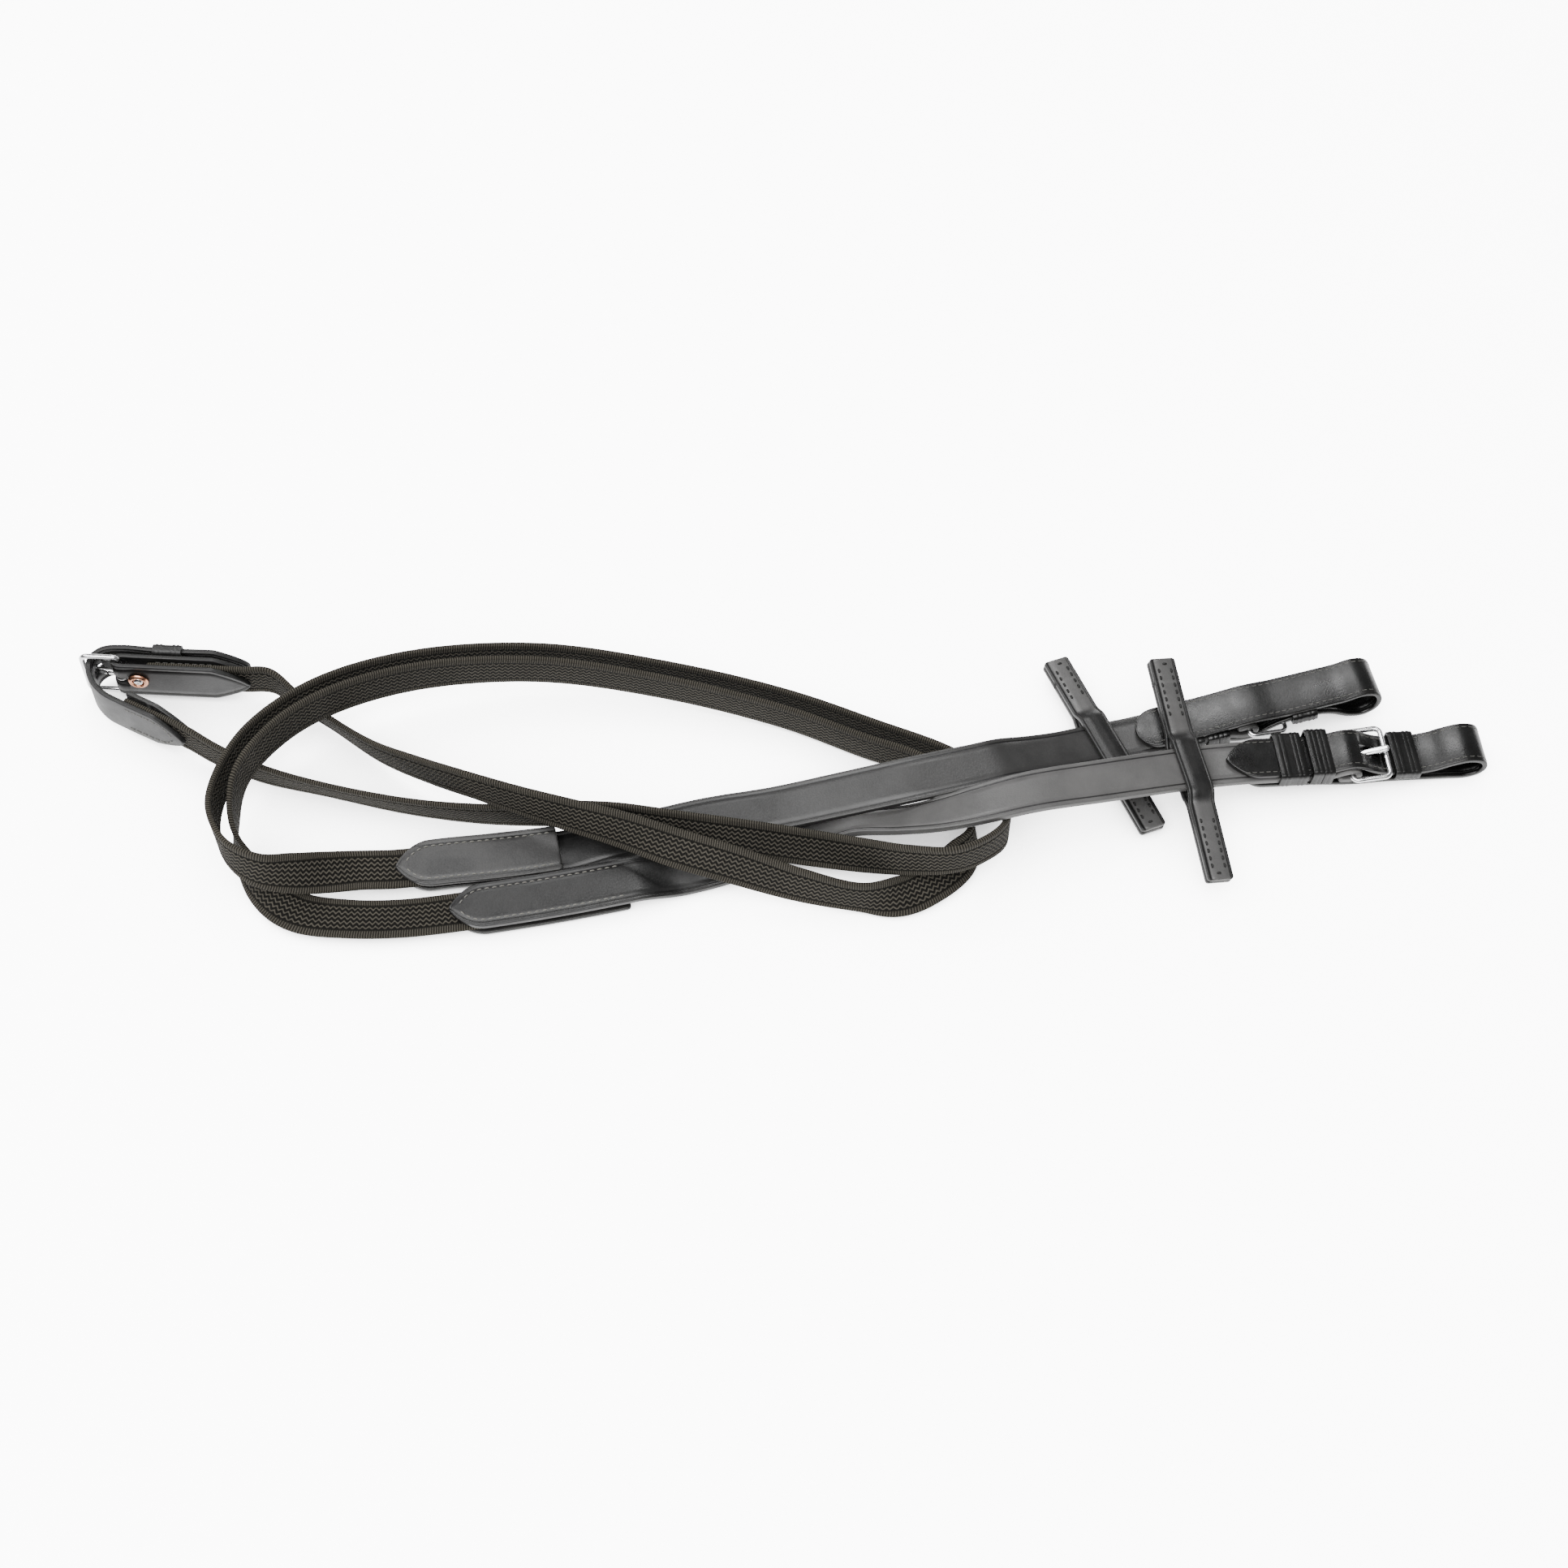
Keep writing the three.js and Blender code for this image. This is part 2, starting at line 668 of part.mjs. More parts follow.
function centrePointStrap() {
  const outer = besideChape(-(WEB.thickness / 2 + GAP + POINT.thickness / 2)).reverse();
  const onwards = [
    [-274.6, 29.6],
    [-279.8, 35.6],
    [-282, 42],
    [-281.3, 47.4],
    [-277, 51.2],
    [-269, 51.9],
    [-257, 50.7],
    [-244, 49.9],
    [-232, 49.4],
    [-218, 48.5],
  ].map(([x, y]) => [x, y, CENTRE_HEIGHT, 90]);
  const route = layRoute(leaning([...outer, ...onwards]));
  const strap = band(route, POINT, { startTip: "point", endTip: "point", step: 3.2 });
  const tongueHole = boxIn(centre, [8.6, 14.8], [-2, 2], [-1.4, 5.4]);
  add("centre_point_strap", "leather", cut(strap, tongueHole));

  const inner = besideChape(WEB.thickness / 2 + GAP + CHAPE.thickness / 2);
  const lining = band(layRoute(leaning(inner)), CHAPE, { endTip: "point", step: 5 });
  add("centre_point_lining", "leather", lining);
}

function centreBuckle() {
  centreChape();
  centreRivet();
  centrePointStrap();
  add("centre_buckle_frame", "steel", buckleFrame(centre, CENTRE_HEEL, CENTRE_FRONT));
  add("centre_buckle_tongue", "steel", buckleTongue(centre, CENTRE_HEEL, CENTRE_FRONT));
  const pointFront = chapeBack + GAP + KEEPER_WALL;
  const pointBack = pointFront + POINT.thickness + 0.7;
  add("centre_keeper", "leather", keeper(centre, [-25, -13], POINT.width / 2 + 0.5, [pointFront, pointBack]));
}

const buckleBitEnd = frameAt(vec(226, 6, 6), pitched(7, -6), UP);
const pointBitEnd = frameAt(vec(186, 28.6, 13.5), pitched(13, 5), UP.clone().negate());
const buckleWebStart = profiled(centre, [
  [-11, 0],
  [-30, 0],
  [-50, 0],
  [-61, 0],
]);
const buckleRein = { side: 1, strapOver: 1 };
const pointRein = { side: -1, strapOver: -1 };

centreBuckle();
const buckleRoute = rein("buckle_rein", buckleWebStart, BUCKLE_REIN_POINTS, buckleBitEnd, buckleRein);
const pointRoute = rein("point_rein", leaning(POINT_CHAPE), POINT_REIN_POINTS, pointBitEnd, pointRein);
bitEnd("buckle_rein", buckleBitEnd, FACE_UP_LOOP);
bitEnd("point_rein", pointBitEnd, FACE_DOWN_LOOP);
const buckleStop = { halfLength: 49, skew: -3.5, farRise: 6, nearRise: -6.5 };
const pointStop = { halfLength: 43.5, skew: 7, farRise: 0, nearRise: -0.5 };
reinStop("buckle_rein", buckleRoute, buckleRoute.length - 80, buckleStop);
reinStop("point_rein", pointRoute, pointRoute.length - 73, pointStop);

reins.position.set(...PLACE);

export default reins;
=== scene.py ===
import math

import bpy
import numpy as np
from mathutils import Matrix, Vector

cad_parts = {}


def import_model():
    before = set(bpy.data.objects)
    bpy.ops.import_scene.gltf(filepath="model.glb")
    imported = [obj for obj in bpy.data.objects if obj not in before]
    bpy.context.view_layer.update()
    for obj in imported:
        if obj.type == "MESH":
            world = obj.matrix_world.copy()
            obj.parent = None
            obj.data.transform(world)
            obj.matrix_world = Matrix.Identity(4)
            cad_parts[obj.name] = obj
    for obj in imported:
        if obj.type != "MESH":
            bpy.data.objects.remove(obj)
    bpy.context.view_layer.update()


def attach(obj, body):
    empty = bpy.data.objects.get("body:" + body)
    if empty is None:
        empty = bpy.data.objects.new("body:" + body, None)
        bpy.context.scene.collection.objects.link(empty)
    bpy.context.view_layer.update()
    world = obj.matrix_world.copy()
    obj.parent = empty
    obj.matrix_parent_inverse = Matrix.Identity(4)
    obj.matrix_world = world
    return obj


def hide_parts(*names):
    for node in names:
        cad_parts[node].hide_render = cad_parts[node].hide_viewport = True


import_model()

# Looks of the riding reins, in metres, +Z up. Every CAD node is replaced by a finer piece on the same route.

# Sizes as (width, thickness).
WEB = (0.0165, 0.0022)
STRAP = (0.019, 0.0026)
BILLET = (0.018, 0.0022)
CHAPE = (0.020, 0.002)
POINT = (0.019, 0.0022)
TAB = (0.0196, 0.0018)
STOP = (0.011, 0.002)
KEEPER_WALL = 0.001
WIRE = 0.0011
BUCKLE_HALF = 0.0115
BUCKLE_REACH = 0.015
GAP = 0.0003
SPLICE_GAP = 0.00045
CORNER = 0.0005
SELVEDGE = 0.0031
EDGE_LINE = 0.0021
CHAPE_SEAM = 0.044
SEAM_INSET = 0.0028
SPLICE_SEAM_INSET = 0.0029
PLACE = np.array((0.00151, 0.00833, 0.000255))
UP = np.array((0.0, 0.0, 1.0))

# Lengths of the pointed tips, in half widths of their band.
SPEAR_TIP = 1.45
POINT_TIP = 1.5

# Stitches as (pitch, length, radius of the thread).
CENTRE_STITCH = (0.003, 0.0022, 0.00034)
SPLICE_STITCH = (0.003, 0.0021, 0.0003)
BILLET_STITCH = (0.0028, 0.0019, 0.0002)
STOP_STITCH = (0.0032, 0.0022, 0.0005)

# Buckles: sides of the wire, the tongue's eye as a radius, and (width, thickness) of its metal.
WIRE_SIDES = 16
EYE_RADIUS = 0.00205
EYE = (0.003, 0.0013)
PIN = (0.003, 0.0018)

# Weave: distances between zigzags, between rows and between selvedge ribs.
ZIGZAG_PITCH = 0.00245
ZIGZAG_SWAY = 0.00052
ROW_PITCH = 0.00205
RIB_PITCH = 0.00095
RIB_SLANT = 700.0

# Camera, in degrees, metres and millimetres of lens.
ELEVATION = 58
DISTANCE = 1.22
LENS = 69.34


def mm(*values):
    return np.array(values, float) / 1000


def unit(vectors):
    return vectors / np.linalg.norm(vectors, axis=-1, keepdims=True)


def smoothstep(values, low, high):
    share = np.clip((values - low) / (high - low), 0, 1)
    return share * share * (3 - 2 * share)


# Camera, at the photograph's angle.

def aim_camera():
    elevation = math.radians(ELEVATION)
    target = Vector(PLACE)
    camera = bpy.data.objects.new("camera", bpy.data.cameras.new("camera"))
    camera.data.lens = LENS
    camera.data.sensor_width = 36
    camera.location = target + DISTANCE * Vector((0, -math.cos(elevation), math.sin(elevation)))
    camera.rotation_euler = (target - camera.location).to_track_quat("-Z", "Y").to_euler()
    bpy.context.collection.objects.link(camera)
    bpy.context.scene.camera = camera


aim_camera()

# Routes: a smooth line through points, with guides that say which way the width of a band lies.


def spline(points, steps, centripetal):
    points = np.asarray(points, float)
    ends = np.vstack((2 * points[0] - points[1], points, 2 * points[-1] - points[-2]))
    p0, p1, p2, p3 = ends[:-3], ends[1:-2], ends[2:-1], ends[3:]
    if centripetal:
        pairs = ((p0, p1), (p1, p2), (p2, p3))
        d0, d1, d2 = (np.sqrt(np.linalg.norm(b - a, axis=1))[:, None] for a, b in pairs)
        leave = ((p1 - p0) / d0 - (p2 - p0) / (d0 + d1) + (p2 - p1) / d1) * d1
        arrive = ((p2 - p1) / d1 - (p3 - p1) / (d1 + d2) + (p3 - p2) / d2) * d1
    else:
        leave, arrive = (p2 - p0) / 2, (p3 - p1) / 2
    t = (np.arange(steps) / steps)[None, :, None]
    p1, p2, leave, arrive = (a[:, None, :] for a in (p1, p2, leave, arrive))
    cubic = 2 * p1 - 2 * p2 + leave + arrive
    square = -3 * p1 + 3 * p2 - 2 * leave - arrive
    line = p1 + leave * t + square * t**2 + cubic * t**3
    return np.vstack((line.reshape(-1, points.shape[1]), points[-1]))


def sampled(distances, knots, values):
    return np.stack([np.interp(distances, knots, column) for column in values.T], axis=1)


class Route:
    steps = 28

    def __init__(self, places, guides):
        self.points = spline(places, self.steps, True)
        self.guides = spline(guides, self.steps, False)
        gaps = np.linalg.norm(np.diff(self.points, axis=0), axis=1)
        self.knots = np.concatenate(([0], np.cumsum(gaps)))
        self.tangents = unit(np.gradient(self.points, self.knots, axis=0))
        self.length = self.knots[-1]

    def knot(self, index):
        return self.knots[index * self.steps]

    def at(self, distances):
        centre = sampled(distances, self.knots, self.points)
        along = unit(sampled(distances, self.knots, self.tangents))
        guide = sampled(distances, self.knots, self.guides)
        across = unit(guide - np.sum(guide * along, axis=1)[:, None] * along)
        return centre, along, across, np.cross(along, across)


# Points (x, y, z, lean): lean 0 lies flat, 90 stands on edge.
def leaning(points):
    points = np.array(points, float)
    places = points[:, :3]
    reach = np.vstack((places[0], places, places[-1]))
    along = unit(reach[2:] - reach[:-2])
    side = unit(np.cross(UP, along))
    rise = np.cross(along, side)
    lean = np.radians(points[:, 3:])
    return places + PLACE, side * np.cos(lean) + rise * np.sin(lean)


# A buckle's own frame: u towards its front bar, v across the strap, n up off its face.
class Frame:
    def __init__(self, origin, along, up):
        self.origin = np.array(origin, float) + PLACE
        self.u = unit(np.array(along, float))
        self.n = unit(np.array(up, float) - np.dot(up, self.u) * self.u)
        self.v = np.cross(self.n, self.u)

    def point(self, u, v, n):
        shares = zip((u, v, n), (self.u, self.v, self.n))
        return self.origin + sum(np.asarray(share, float)[..., None] * axis for share, axis in shares)


def pitched(heading, pitch):
    heading, pitch = math.radians(heading), math.radians(pitch)
    return (math.cos(heading) * math.cos(pitch), math.sin(heading) * math.cos(pitch), math.sin(pitch))


# Points (u, n) of a line in the middle plane of a buckle.
def profiled(place, points, side=1):
    u, n = np.array(points, float).T
    return place.point(u, 0 * u, n), np.tile(side * place.v, (len(u), 1))


def joined(*parts):
    return np.vstack([places for places, _ in parts]), np.vstack([guides for _, guides in parts])


# Mesh building.


def finished(name, vertices, faces, uv, material, body="root", nodes=(), slot=None):
    mesh = bpy.data.meshes.new("look_" + name)
    mesh.from_pydata(np.asarray(vertices).tolist(), [], faces)
    layer = mesh.uv_layers.new(name="route")
    corners = np.zeros(len(mesh.loops), np.int64)
    mesh.loops.foreach_get("vertex_index", corners)
    layer.data.foreach_set("uv", np.asarray(uv, np.float32)[corners].ravel())
    mesh.polygons.foreach_set("use_smooth", np.ones(len(mesh.polygons), bool))
    mesh.materials.append(material)
    piece = bpy.data.objects.new("look_" + name, mesh)
    bpy.context.collection.objects.link(piece)
    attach(piece, body)
    if nodes:
        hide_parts(*nodes)
    return piece


# Faces of a grid of vertices, rows by ring, whose rings are closed.
def ring_faces(rows, ring, closed):
    faces = []
    for row in range(rows if closed else rows - 1):
        here, there = row * ring, (row + 1) % rows * ring
        for i in range(ring):
            j = (i + 1) % ring
            faces.append((here + i, here + j, there + j, there + i))
    if not closed:
        faces.append(tuple(range(ring))[::-1])
        faces.append(tuple(range((rows - 1) * ring, rows * ring)))
    return faces


# Half a band's section from its edge to its middle, as (inset, height), with pressed lines at some insets.
def section(thickness, corner=CORNER, pressed=(), depth=0.00028, spread=0.00034):
    half = thickness / 2
    angles = np.linspace(0, math.pi / 2, 5)
    top = [(corner * (1 - math.cos(a)), half - corner * (1 - math.sin(a))) for a in angles]
    for inset in pressed:
        top += [(inset - spread, half), (inset, half - depth), (inset + spread, half)]
    top += [(0.0045, half), (1.0, half)]
    bottom = [(inset, -height) for inset, height in top[:5]] + [(1.0, -half)]
    ring = [(1, inset, height) for inset, height in top]
    ring += [(-1, inset, height) for inset, height in reversed(top[:-1])]
    ring += [(-1, inset, height) for inset, height in bottom]
    ring += [(1, inset, height) for inset, height in reversed(bottom[:-1])]
    return np.array(ring)


def sweep_vertices(centre, across, normal, half, lift, taper, ring):
    side, inset, height = ring.T
    x = side * np.clip(half[:, None] - inset, 0, None)
    y = height * taper[:, None] + lift[:, None]
    place = centre[:, None] + across[:, None] * x[..., None] + normal[:, None] * y[..., None]
    return place, x


def tip_half(kind, distance, half):
    if kind == "round":
        share = np.clip(distance / half, 0, 1)
        return half * np.sqrt(1 - (1 - share) ** 2)
    if kind == "spear":
        share = np.clip(distance / (half * SPEAR_TIP), 0, 1)
        return half * (1 - (1 - share) ** 1.9) ** 0.8
    if kind == "point":
        return half * np.clip(distance / (half * POINT_TIP), 0, 1) ** 0.6
    corner = 0.0014
    return half - corner + np.sqrt(corner**2 - (corner - np.clip(distance, 0, corner)) ** 2)


def stations(start, end, step):
    ease = 0.011 * (1 - np.cos(np.linspace(0, math.pi / 2, 14)))
    middle = np.linspace(start + 0.011, end - 0.011, max(int((end - start - 0.022) / step), 2))
    return np.unique(np.concatenate((start + ease, middle, end - ease)))


def band(name, route, size, ring, material, start=0.0, end=None, tips=("square", "square"), lift=None,
         step=0.0014, **rest):
    end = route.length if end is None else end
    s = stations(start, end, step)
    half = size[0] / 2
    halves = np.minimum(tip_half(tips[0], s - start, half), tip_half(tips[1], end - s, half))
    halves = np.maximum(halves, 0.0006)
    near = np.clip(np.minimum(s - start, end - s) / 0.0007, 0, 1)
    taper = 0.35 + 0.65 * np.sqrt(1 - (1 - near) ** 2)
    lifts = np.zeros(len(s)) if lift is None else lift(s)
    centre, _, across, normal = route.at(s)
    place, x = sweep_vertices(centre, across, normal, halves, lifts, taper, ring)
    uv = np.stack((np.broadcast_to(s[:, None], x.shape), x), axis=-1)
    faces = ring_faces(len(s), len(ring), False)
    return finished(name, place.reshape(-1, 3), faces, uv.reshape(-1, 2), material, **rest)


# A closed band round a loop of points in one plane, whose width lies along the axis.
def hoop(name, points, axis, size, ring, material, **rest):
    points = np.asarray(points)
    along = unit(np.roll(points, -1, axis=0) - np.roll(points, 1, axis=0))
    across = np.tile(axis, (len(points), 1))
    normal = np.cross(along, across)
    halves = np.full(len(points), size[0] / 2)
    place, x = sweep_vertices(points, across, normal, halves, 0 * halves, 0 * halves + 1, ring)
    gaps = np.linalg.norm(points - np.roll(points, 1, axis=0), axis=1)
    uv = np.stack((np.broadcast_to(np.cumsum(gaps)[:, None], x.shape), x), axis=-1)
    faces = ring_faces(len(points), len(ring), True)
    return finished(name, place.reshape(-1, 3), faces, uv.reshape(-1, 2), material, **rest)


# A round wire along a closed line of points, in a plane with the given normal.
def wire_vertices(points, plane_normal, radius):
    along = unit(np.roll(points, -1, axis=0) - np.roll(points, 1, axis=0))
    out = np.cross(along, plane_normal)
    turn = np.arange(WIRE_SIDES) * 2 * math.pi / WIRE_SIDES
    spokes = out[:, None] * np.cos(turn)[None, :, None] + plane_normal * np.sin(turn)[None, :, None]
    return points[:, None] + spokes * radius


def rounded_loop(low, high, corner, arc=8, straight=10):
    (x0, y0), (x1, y1) = low, high
    middles = ((x1 - corner, y0 + corner, -90), (x1 - corner, y1 - corner, 0),
               (x0 + corner, y1 - corner, 90), (x0 + corner, y0 + corner, 180))
    corners = []
    for x, y, first in middles:
        angles = np.radians(np.linspace(first, first + 90, arc))
        corners.append(np.stack((x + corner * np.cos(angles), y + corner * np.sin(angles)), axis=1))
    line = []
    for i, here in enumerate(corners):
        there = corners[(i + 1) % 4][0]
        share = (np.arange(1, straight) / straight)[:, None]
        line += [here, here[-1] + (there - here[-1]) * share]
    return np.vstack(line)


# Cuts a box of a buckle's own frame out of a piece.
def cut_box(piece, place, u, v, n):
    rim = ((u[0], v[0]), (u[1], v[0]), (u[1], v[1]), (u[0], v[1]))
    corners = [place.point(a, b, c).tolist() for c in n for a, b in rim]
    faces = [(3, 2, 1, 0), (4, 5, 6, 7), (0, 1, 5, 4), (1, 2, 6, 5), (2, 3, 7, 6), (3, 0, 4, 7)]
    mesh = bpy.data.meshes.new("cutter")
    mesh.from_pydata(corners, [], faces)
    cutter = bpy.data.objects.new("cutter", mesh)
    bpy.context.collection.objects.link(cutter)
    modifier = piece.modifiers.new("cut", "BOOLEAN")
    modifier.operation = "DIFFERENCE"
    modifier.solver = "MANIFOLD"
    modifier.object = cutter
    bpy.context.view_layer.update()
    shaped = piece.evaluated_get(bpy.context.evaluated_depsgraph_get())
    result = bpy.data.meshes.new_from_object(shaped)
    piece.modifiers.remove(modifier)
    piece.data = result
    bpy.data.objects.remove(cutter)


def lathe(name, profile, place, u, v, material, **rest):
    sides = 40
    turn = np.arange(sides) * 2 * math.pi / sides
    radius, height = np.array(profile, float).T
    vertices = place.point(u + radius * np.cos(turn)[:, None], v + radius * np.sin(turn)[:, None],
                           np.broadcast_to(height, (sides, len(height))))
    faces = ring_faces(sides, len(profile), True)
    uv = np.zeros((sides * len(profile), 2))
    return finished(name, vertices.reshape(-1, 3), faces, uv, material, **rest)


# Stitches: short rounds of thread that lie along a line of (distance, across) on a band.


def resampled(line, pitch):
    line = np.array(line, float)
    knots = np.concatenate(([0], np.cumsum(np.linalg.norm(np.diff(line, axis=0), axis=1))))
    places = np.arange(pitch / 2, knots[-1], pitch)
    return sampled(places, knots, line)


def stitched(route, lift, line, pitch, length, radius):
    line = resampled(line, pitch)
    before, after = line[:-1], line[1:]
    middles = (before + after) / 2
    ends = []
    for share in (-0.5, 0.5):
        spot = middles + (after - before) * share * length / pitch
        centre, _, across, normal = route.at(spot[:, 0])
        lifts = lift(spot[:, 0]) if callable(lift) else np.full(len(spot), lift)
        ends.append(centre + across * spot[:, 1:] + normal * lifts[:, None])
    _, _, _, normal = route.at(middles[:, 0])
    return ends[0], ends[1], normal, radius


def thread_piece(name, rows, material, body="root", slot=None):
    vertices, faces = [], []
    shares = np.array((0, 0.08, 0.3, 0.5, 0.7, 0.92, 1))
    swell = np.array((0.25, 0.7, 0.95, 1, 0.95, 0.7, 0.25))
    arch = np.array((-1, -0.3, 0.3, 0.45, 0.3, -0.3, -1))
    sides = 6
    turn = np.arange(sides) * 2 * math.pi / sides
    for starts, stops, normals, radius in rows:
        for start, stop, normal in zip(starts, stops, normals):
            along = unit(stop - start)
            wide = np.cross(along, normal)
            spine = start + (stop - start) * shares[:, None] + normal * (arch * radius)[:, None]
            spokes = np.cos(turn)[:, None] * wide + np.sin(turn)[:, None] * normal
            rings = spine[:, None] + spokes[None] * (swell * radius)[:, None, None]
            first = len(vertices)
            vertices += rings.reshape(-1, 3).tolist()
            faces += [tuple(first + i for i in face) for face in ring_faces(len(shares), sides, False)]
    return finished(name, vertices, faces, np.zeros((len(vertices), 2)), material, body=body, slot=slot)


# A line along a band's border, round its tips, from start to end.
def border(start, end, half, inset, tips=("spear", "square"), open_end=False):
    inner = half - inset
    line = []
    if tips[0] == "spear":
        shares = np.linspace(0, 1, 12)
        halves = tip_half("spear", shares * inner * SPEAR_TIP, inner)
        line = [(start + inset * 1.2 + share * inner * SPEAR_TIP, x) for share, x in zip(shares, halves)]
    elif tips[0] == "point":
        line = [(start + inset * 1.6, 0), (start + half * 0.9, inner * 0.82)]
        line += [(start + half * POINT_TIP, inner)]
    else:
        line = [(start + inset, inner)]
    if tips[1] == "point":
        line += [(end - half * POINT_TIP, inner), (end - half * 0.9, inner * 0.82), (end - inset * 1.6, 0)]
    else:
        line += [(end if open_end else end - inset, inner)]
    return line, [(s, -x) for s, x in line]


# Materials.


class Shader:
    def __init__(self, name):
        self.material = bpy.data.materials.new(name)
        self.material.use_nodes = True
        self.tree = self.material.node_tree
        self.surface = self.tree.nodes["Principled BSDF"]
        self.place = self.node("ShaderNodeTexCoord").outputs["Object"]

    def node(self, kind, inputs=None, **settings):
        node = self.tree.nodes.new(kind)
        for name, value in settings.items():
            setattr(node, name, value)
        for name, value in (inputs or {}).items():
            self.put(node.inputs[name], value)
        return node

    def put(self, socket, value):
        if isinstance(value, bpy.types.NodeSocket):
            self.tree.links.new(value, socket)
        else:
            socket.default_value = value

    def math(self, operation, first, second=0.0):
        return self.node("ShaderNodeMath", {0: first, 1: second}, operation=operation).outputs[0]

    def noise(self, scale, detail=3.0, roughness=0.5):
        inputs = {"Vector": self.place, "Scale": scale, "Detail": detail, "Roughness": roughness}
        return self.node("ShaderNodeTexNoise", inputs).outputs[0]

    def span(self, value, low, high, new_low, new_high):
        inputs = {"Value": value, "From Min": low, "From Max": high, "To Min": new_low, "To Max": new_high}
        return self.node("ShaderNodeMapRange", inputs, interpolation_type="SMOOTHSTEP").outputs[0]

    def mix(self, share, first, second):
        node = self.node("ShaderNodeMix", data_type="RGBA")
        self.put(node.inputs["Factor"], share)
        colours = [socket for socket in node.inputs if socket.type == "RGBA"]
        for socket, colour in zip(colours, (first, second)):
            self.put(socket, colour)
        return [socket for socket in node.outputs if socket.type == "RGBA"][0]

    def bump(self, height, strength, distance):
        inputs = {"Height": height, "Strength": strength, "Distance": distance}
        return self.node("ShaderNodeBump", inputs).outputs[0]

    def finish(self, **sockets):
        for name, value in sockets.items():
            self.put(self.surface.inputs[name.replace("_", " ")], value)
        return self.material


def grey(value, warm=0.0):
    return (value * (1 + warm), value, value * (1 - warm), 1)


# Leather, with a line pressed in at a distance from the band's middle, and an optional paler stretch:
# its tone, and its share at each place (distance, across) of the band. On the rein straps the paler stretch
# is a painted sheen.
def leather(name, tone, gloss, grain=0.35, line_at=None, pale_tone=0.0, pale_share=None):
    shader = Shader(name)
    pores = shader.node("ShaderNodeTexVoronoi", {"Vector": shader.place, "Scale": 1500.0}).outputs["Distance"]
    fine = shader.noise(2600.0, 2.0)
    patches = shader.noise(70.0, 4.0, 0.6)
    creases = shader.noise(420.0, 5.0, 0.7)
    height = shader.math("ADD", shader.math("MULTIPLY", pores, 0.5), shader.math("MULTIPLY", fine, 0.4))
    height = shader.math("ADD", height, shader.math("MULTIPLY", creases, 0.7))
    colour = shader.mix(shader.span(patches, 0.3, 0.72, 0, 1), grey(tone * 0.72), grey(tone * 1.35, 0.02))
    route = shader.node("ShaderNodeSeparateXYZ", {0: shader.node("ShaderNodeTexCoord").outputs["UV"]})
    if pale_share:
        share = pale_share(shader, route.outputs["X"], route.outputs["Y"])
        pale = shader.mix(patches, grey(pale_tone * 0.7), grey(pale_tone * 1.3, 0.02))
        colour = shader.mix(share, colour, pale)
    if line_at:
        from_middle = shader.math("ABSOLUTE", route.outputs["Y"])
        away = shader.math("ABSOLUTE", shader.math("SUBTRACT", from_middle, line_at))
        colour = shader.mix(shader.span(away, 0.0002, 0.00045, 0.9, 0), colour, grey(0.0008))
    rough = shader.math("ADD", shader.span(patches, 0.3, 0.7, gloss - 0.05, gloss + 0.09),
                        shader.math("MULTIPLY", creases, 0.06))
    return shader.finish(Base_Color=colour, Roughness=rough, Specular_IOR_Level=0.4, Coat_Weight=0.06,
                         Coat_Roughness=0.28, Normal=shader.bump(height, grain, 0.00012))


def webbing():
    shader = Shader("webbing")
    route = shader.node("ShaderNodeSeparateXYZ", {0: shader.node("ShaderNodeTexCoord").outputs["UV"]})
    u, v = route.outputs["X"], route.outputs["Y"]
    edge = shader.math("ABSOLUTE", v)
    zigzag = shader.math("SINE", shader.math("MULTIPLY", u, math.tau / ZIGZAG_PITCH))
    sway = shader.math("MULTIPLY", zigzag, ZIGZAG_SWAY)
    drift = shader.math("MULTIPLY", shader.math("SUBTRACT", shader.noise(500.0, 2.0), 0.5), 0.0005)
    row = shader.math("ADD", shader.math("ADD", v, sway), drift)
    ridges = shader.math("COSINE", shader.math("MULTIPLY", row, math.tau / ROW_PITCH))
    rows = shader.span(ridges, -0.55, 0.85, 0, 1)
    rib = shader.math("MULTIPLY", u, math.tau / RIB_PITCH)
    rib = shader.math("ADD", rib, shader.math("MULTIPLY", edge, RIB_SLANT))
    ribs = shader.span(shader.math("COSINE", rib), -0.9, 0.6, 0.2, 1.15)
    half = WEB[0] / 2 - SELVEDGE
    outer = shader.span(edge, half - 0.0002, half + 0.0003, 0, 1)
    weave = shader.math("ADD", shader.math("MULTIPLY", ribs, outer),
                        shader.math("MULTIPLY", rows, shader.math("SUBTRACT", 1.0, outer)))
    seam = shader.math("ABSOLUTE", shader.math("SUBTRACT", edge, half))
    weave = shader.math("MULTIPLY", weave, shader.span(seam, 0.00015, 0.0006, 0.15, 1))
    fibres = shader.noise(5200.0, 2.0)
    light = shader.mix(shader.noise(60.0, 3.0), (0.046, 0.042, 0.034, 1), (0.073, 0.066, 0.054, 1))
    fuzz = shader.math("ADD", shader.math("MULTIPLY", weave, 0.95), shader.math("MULTIPLY", fibres, 0.1))
    colour = shader.mix(fuzz, (0.0008, 0.0008, 0.0007, 1), light)
    height = shader.math("ADD", weave, shader.math("MULTIPLY", fibres, 0.3))
    return shader.finish(Base_Color=colour, Roughness=0.82, Specular_IOR_Level=0.12,
                         Normal=shader.bump(height, 1.0, 0.0006))


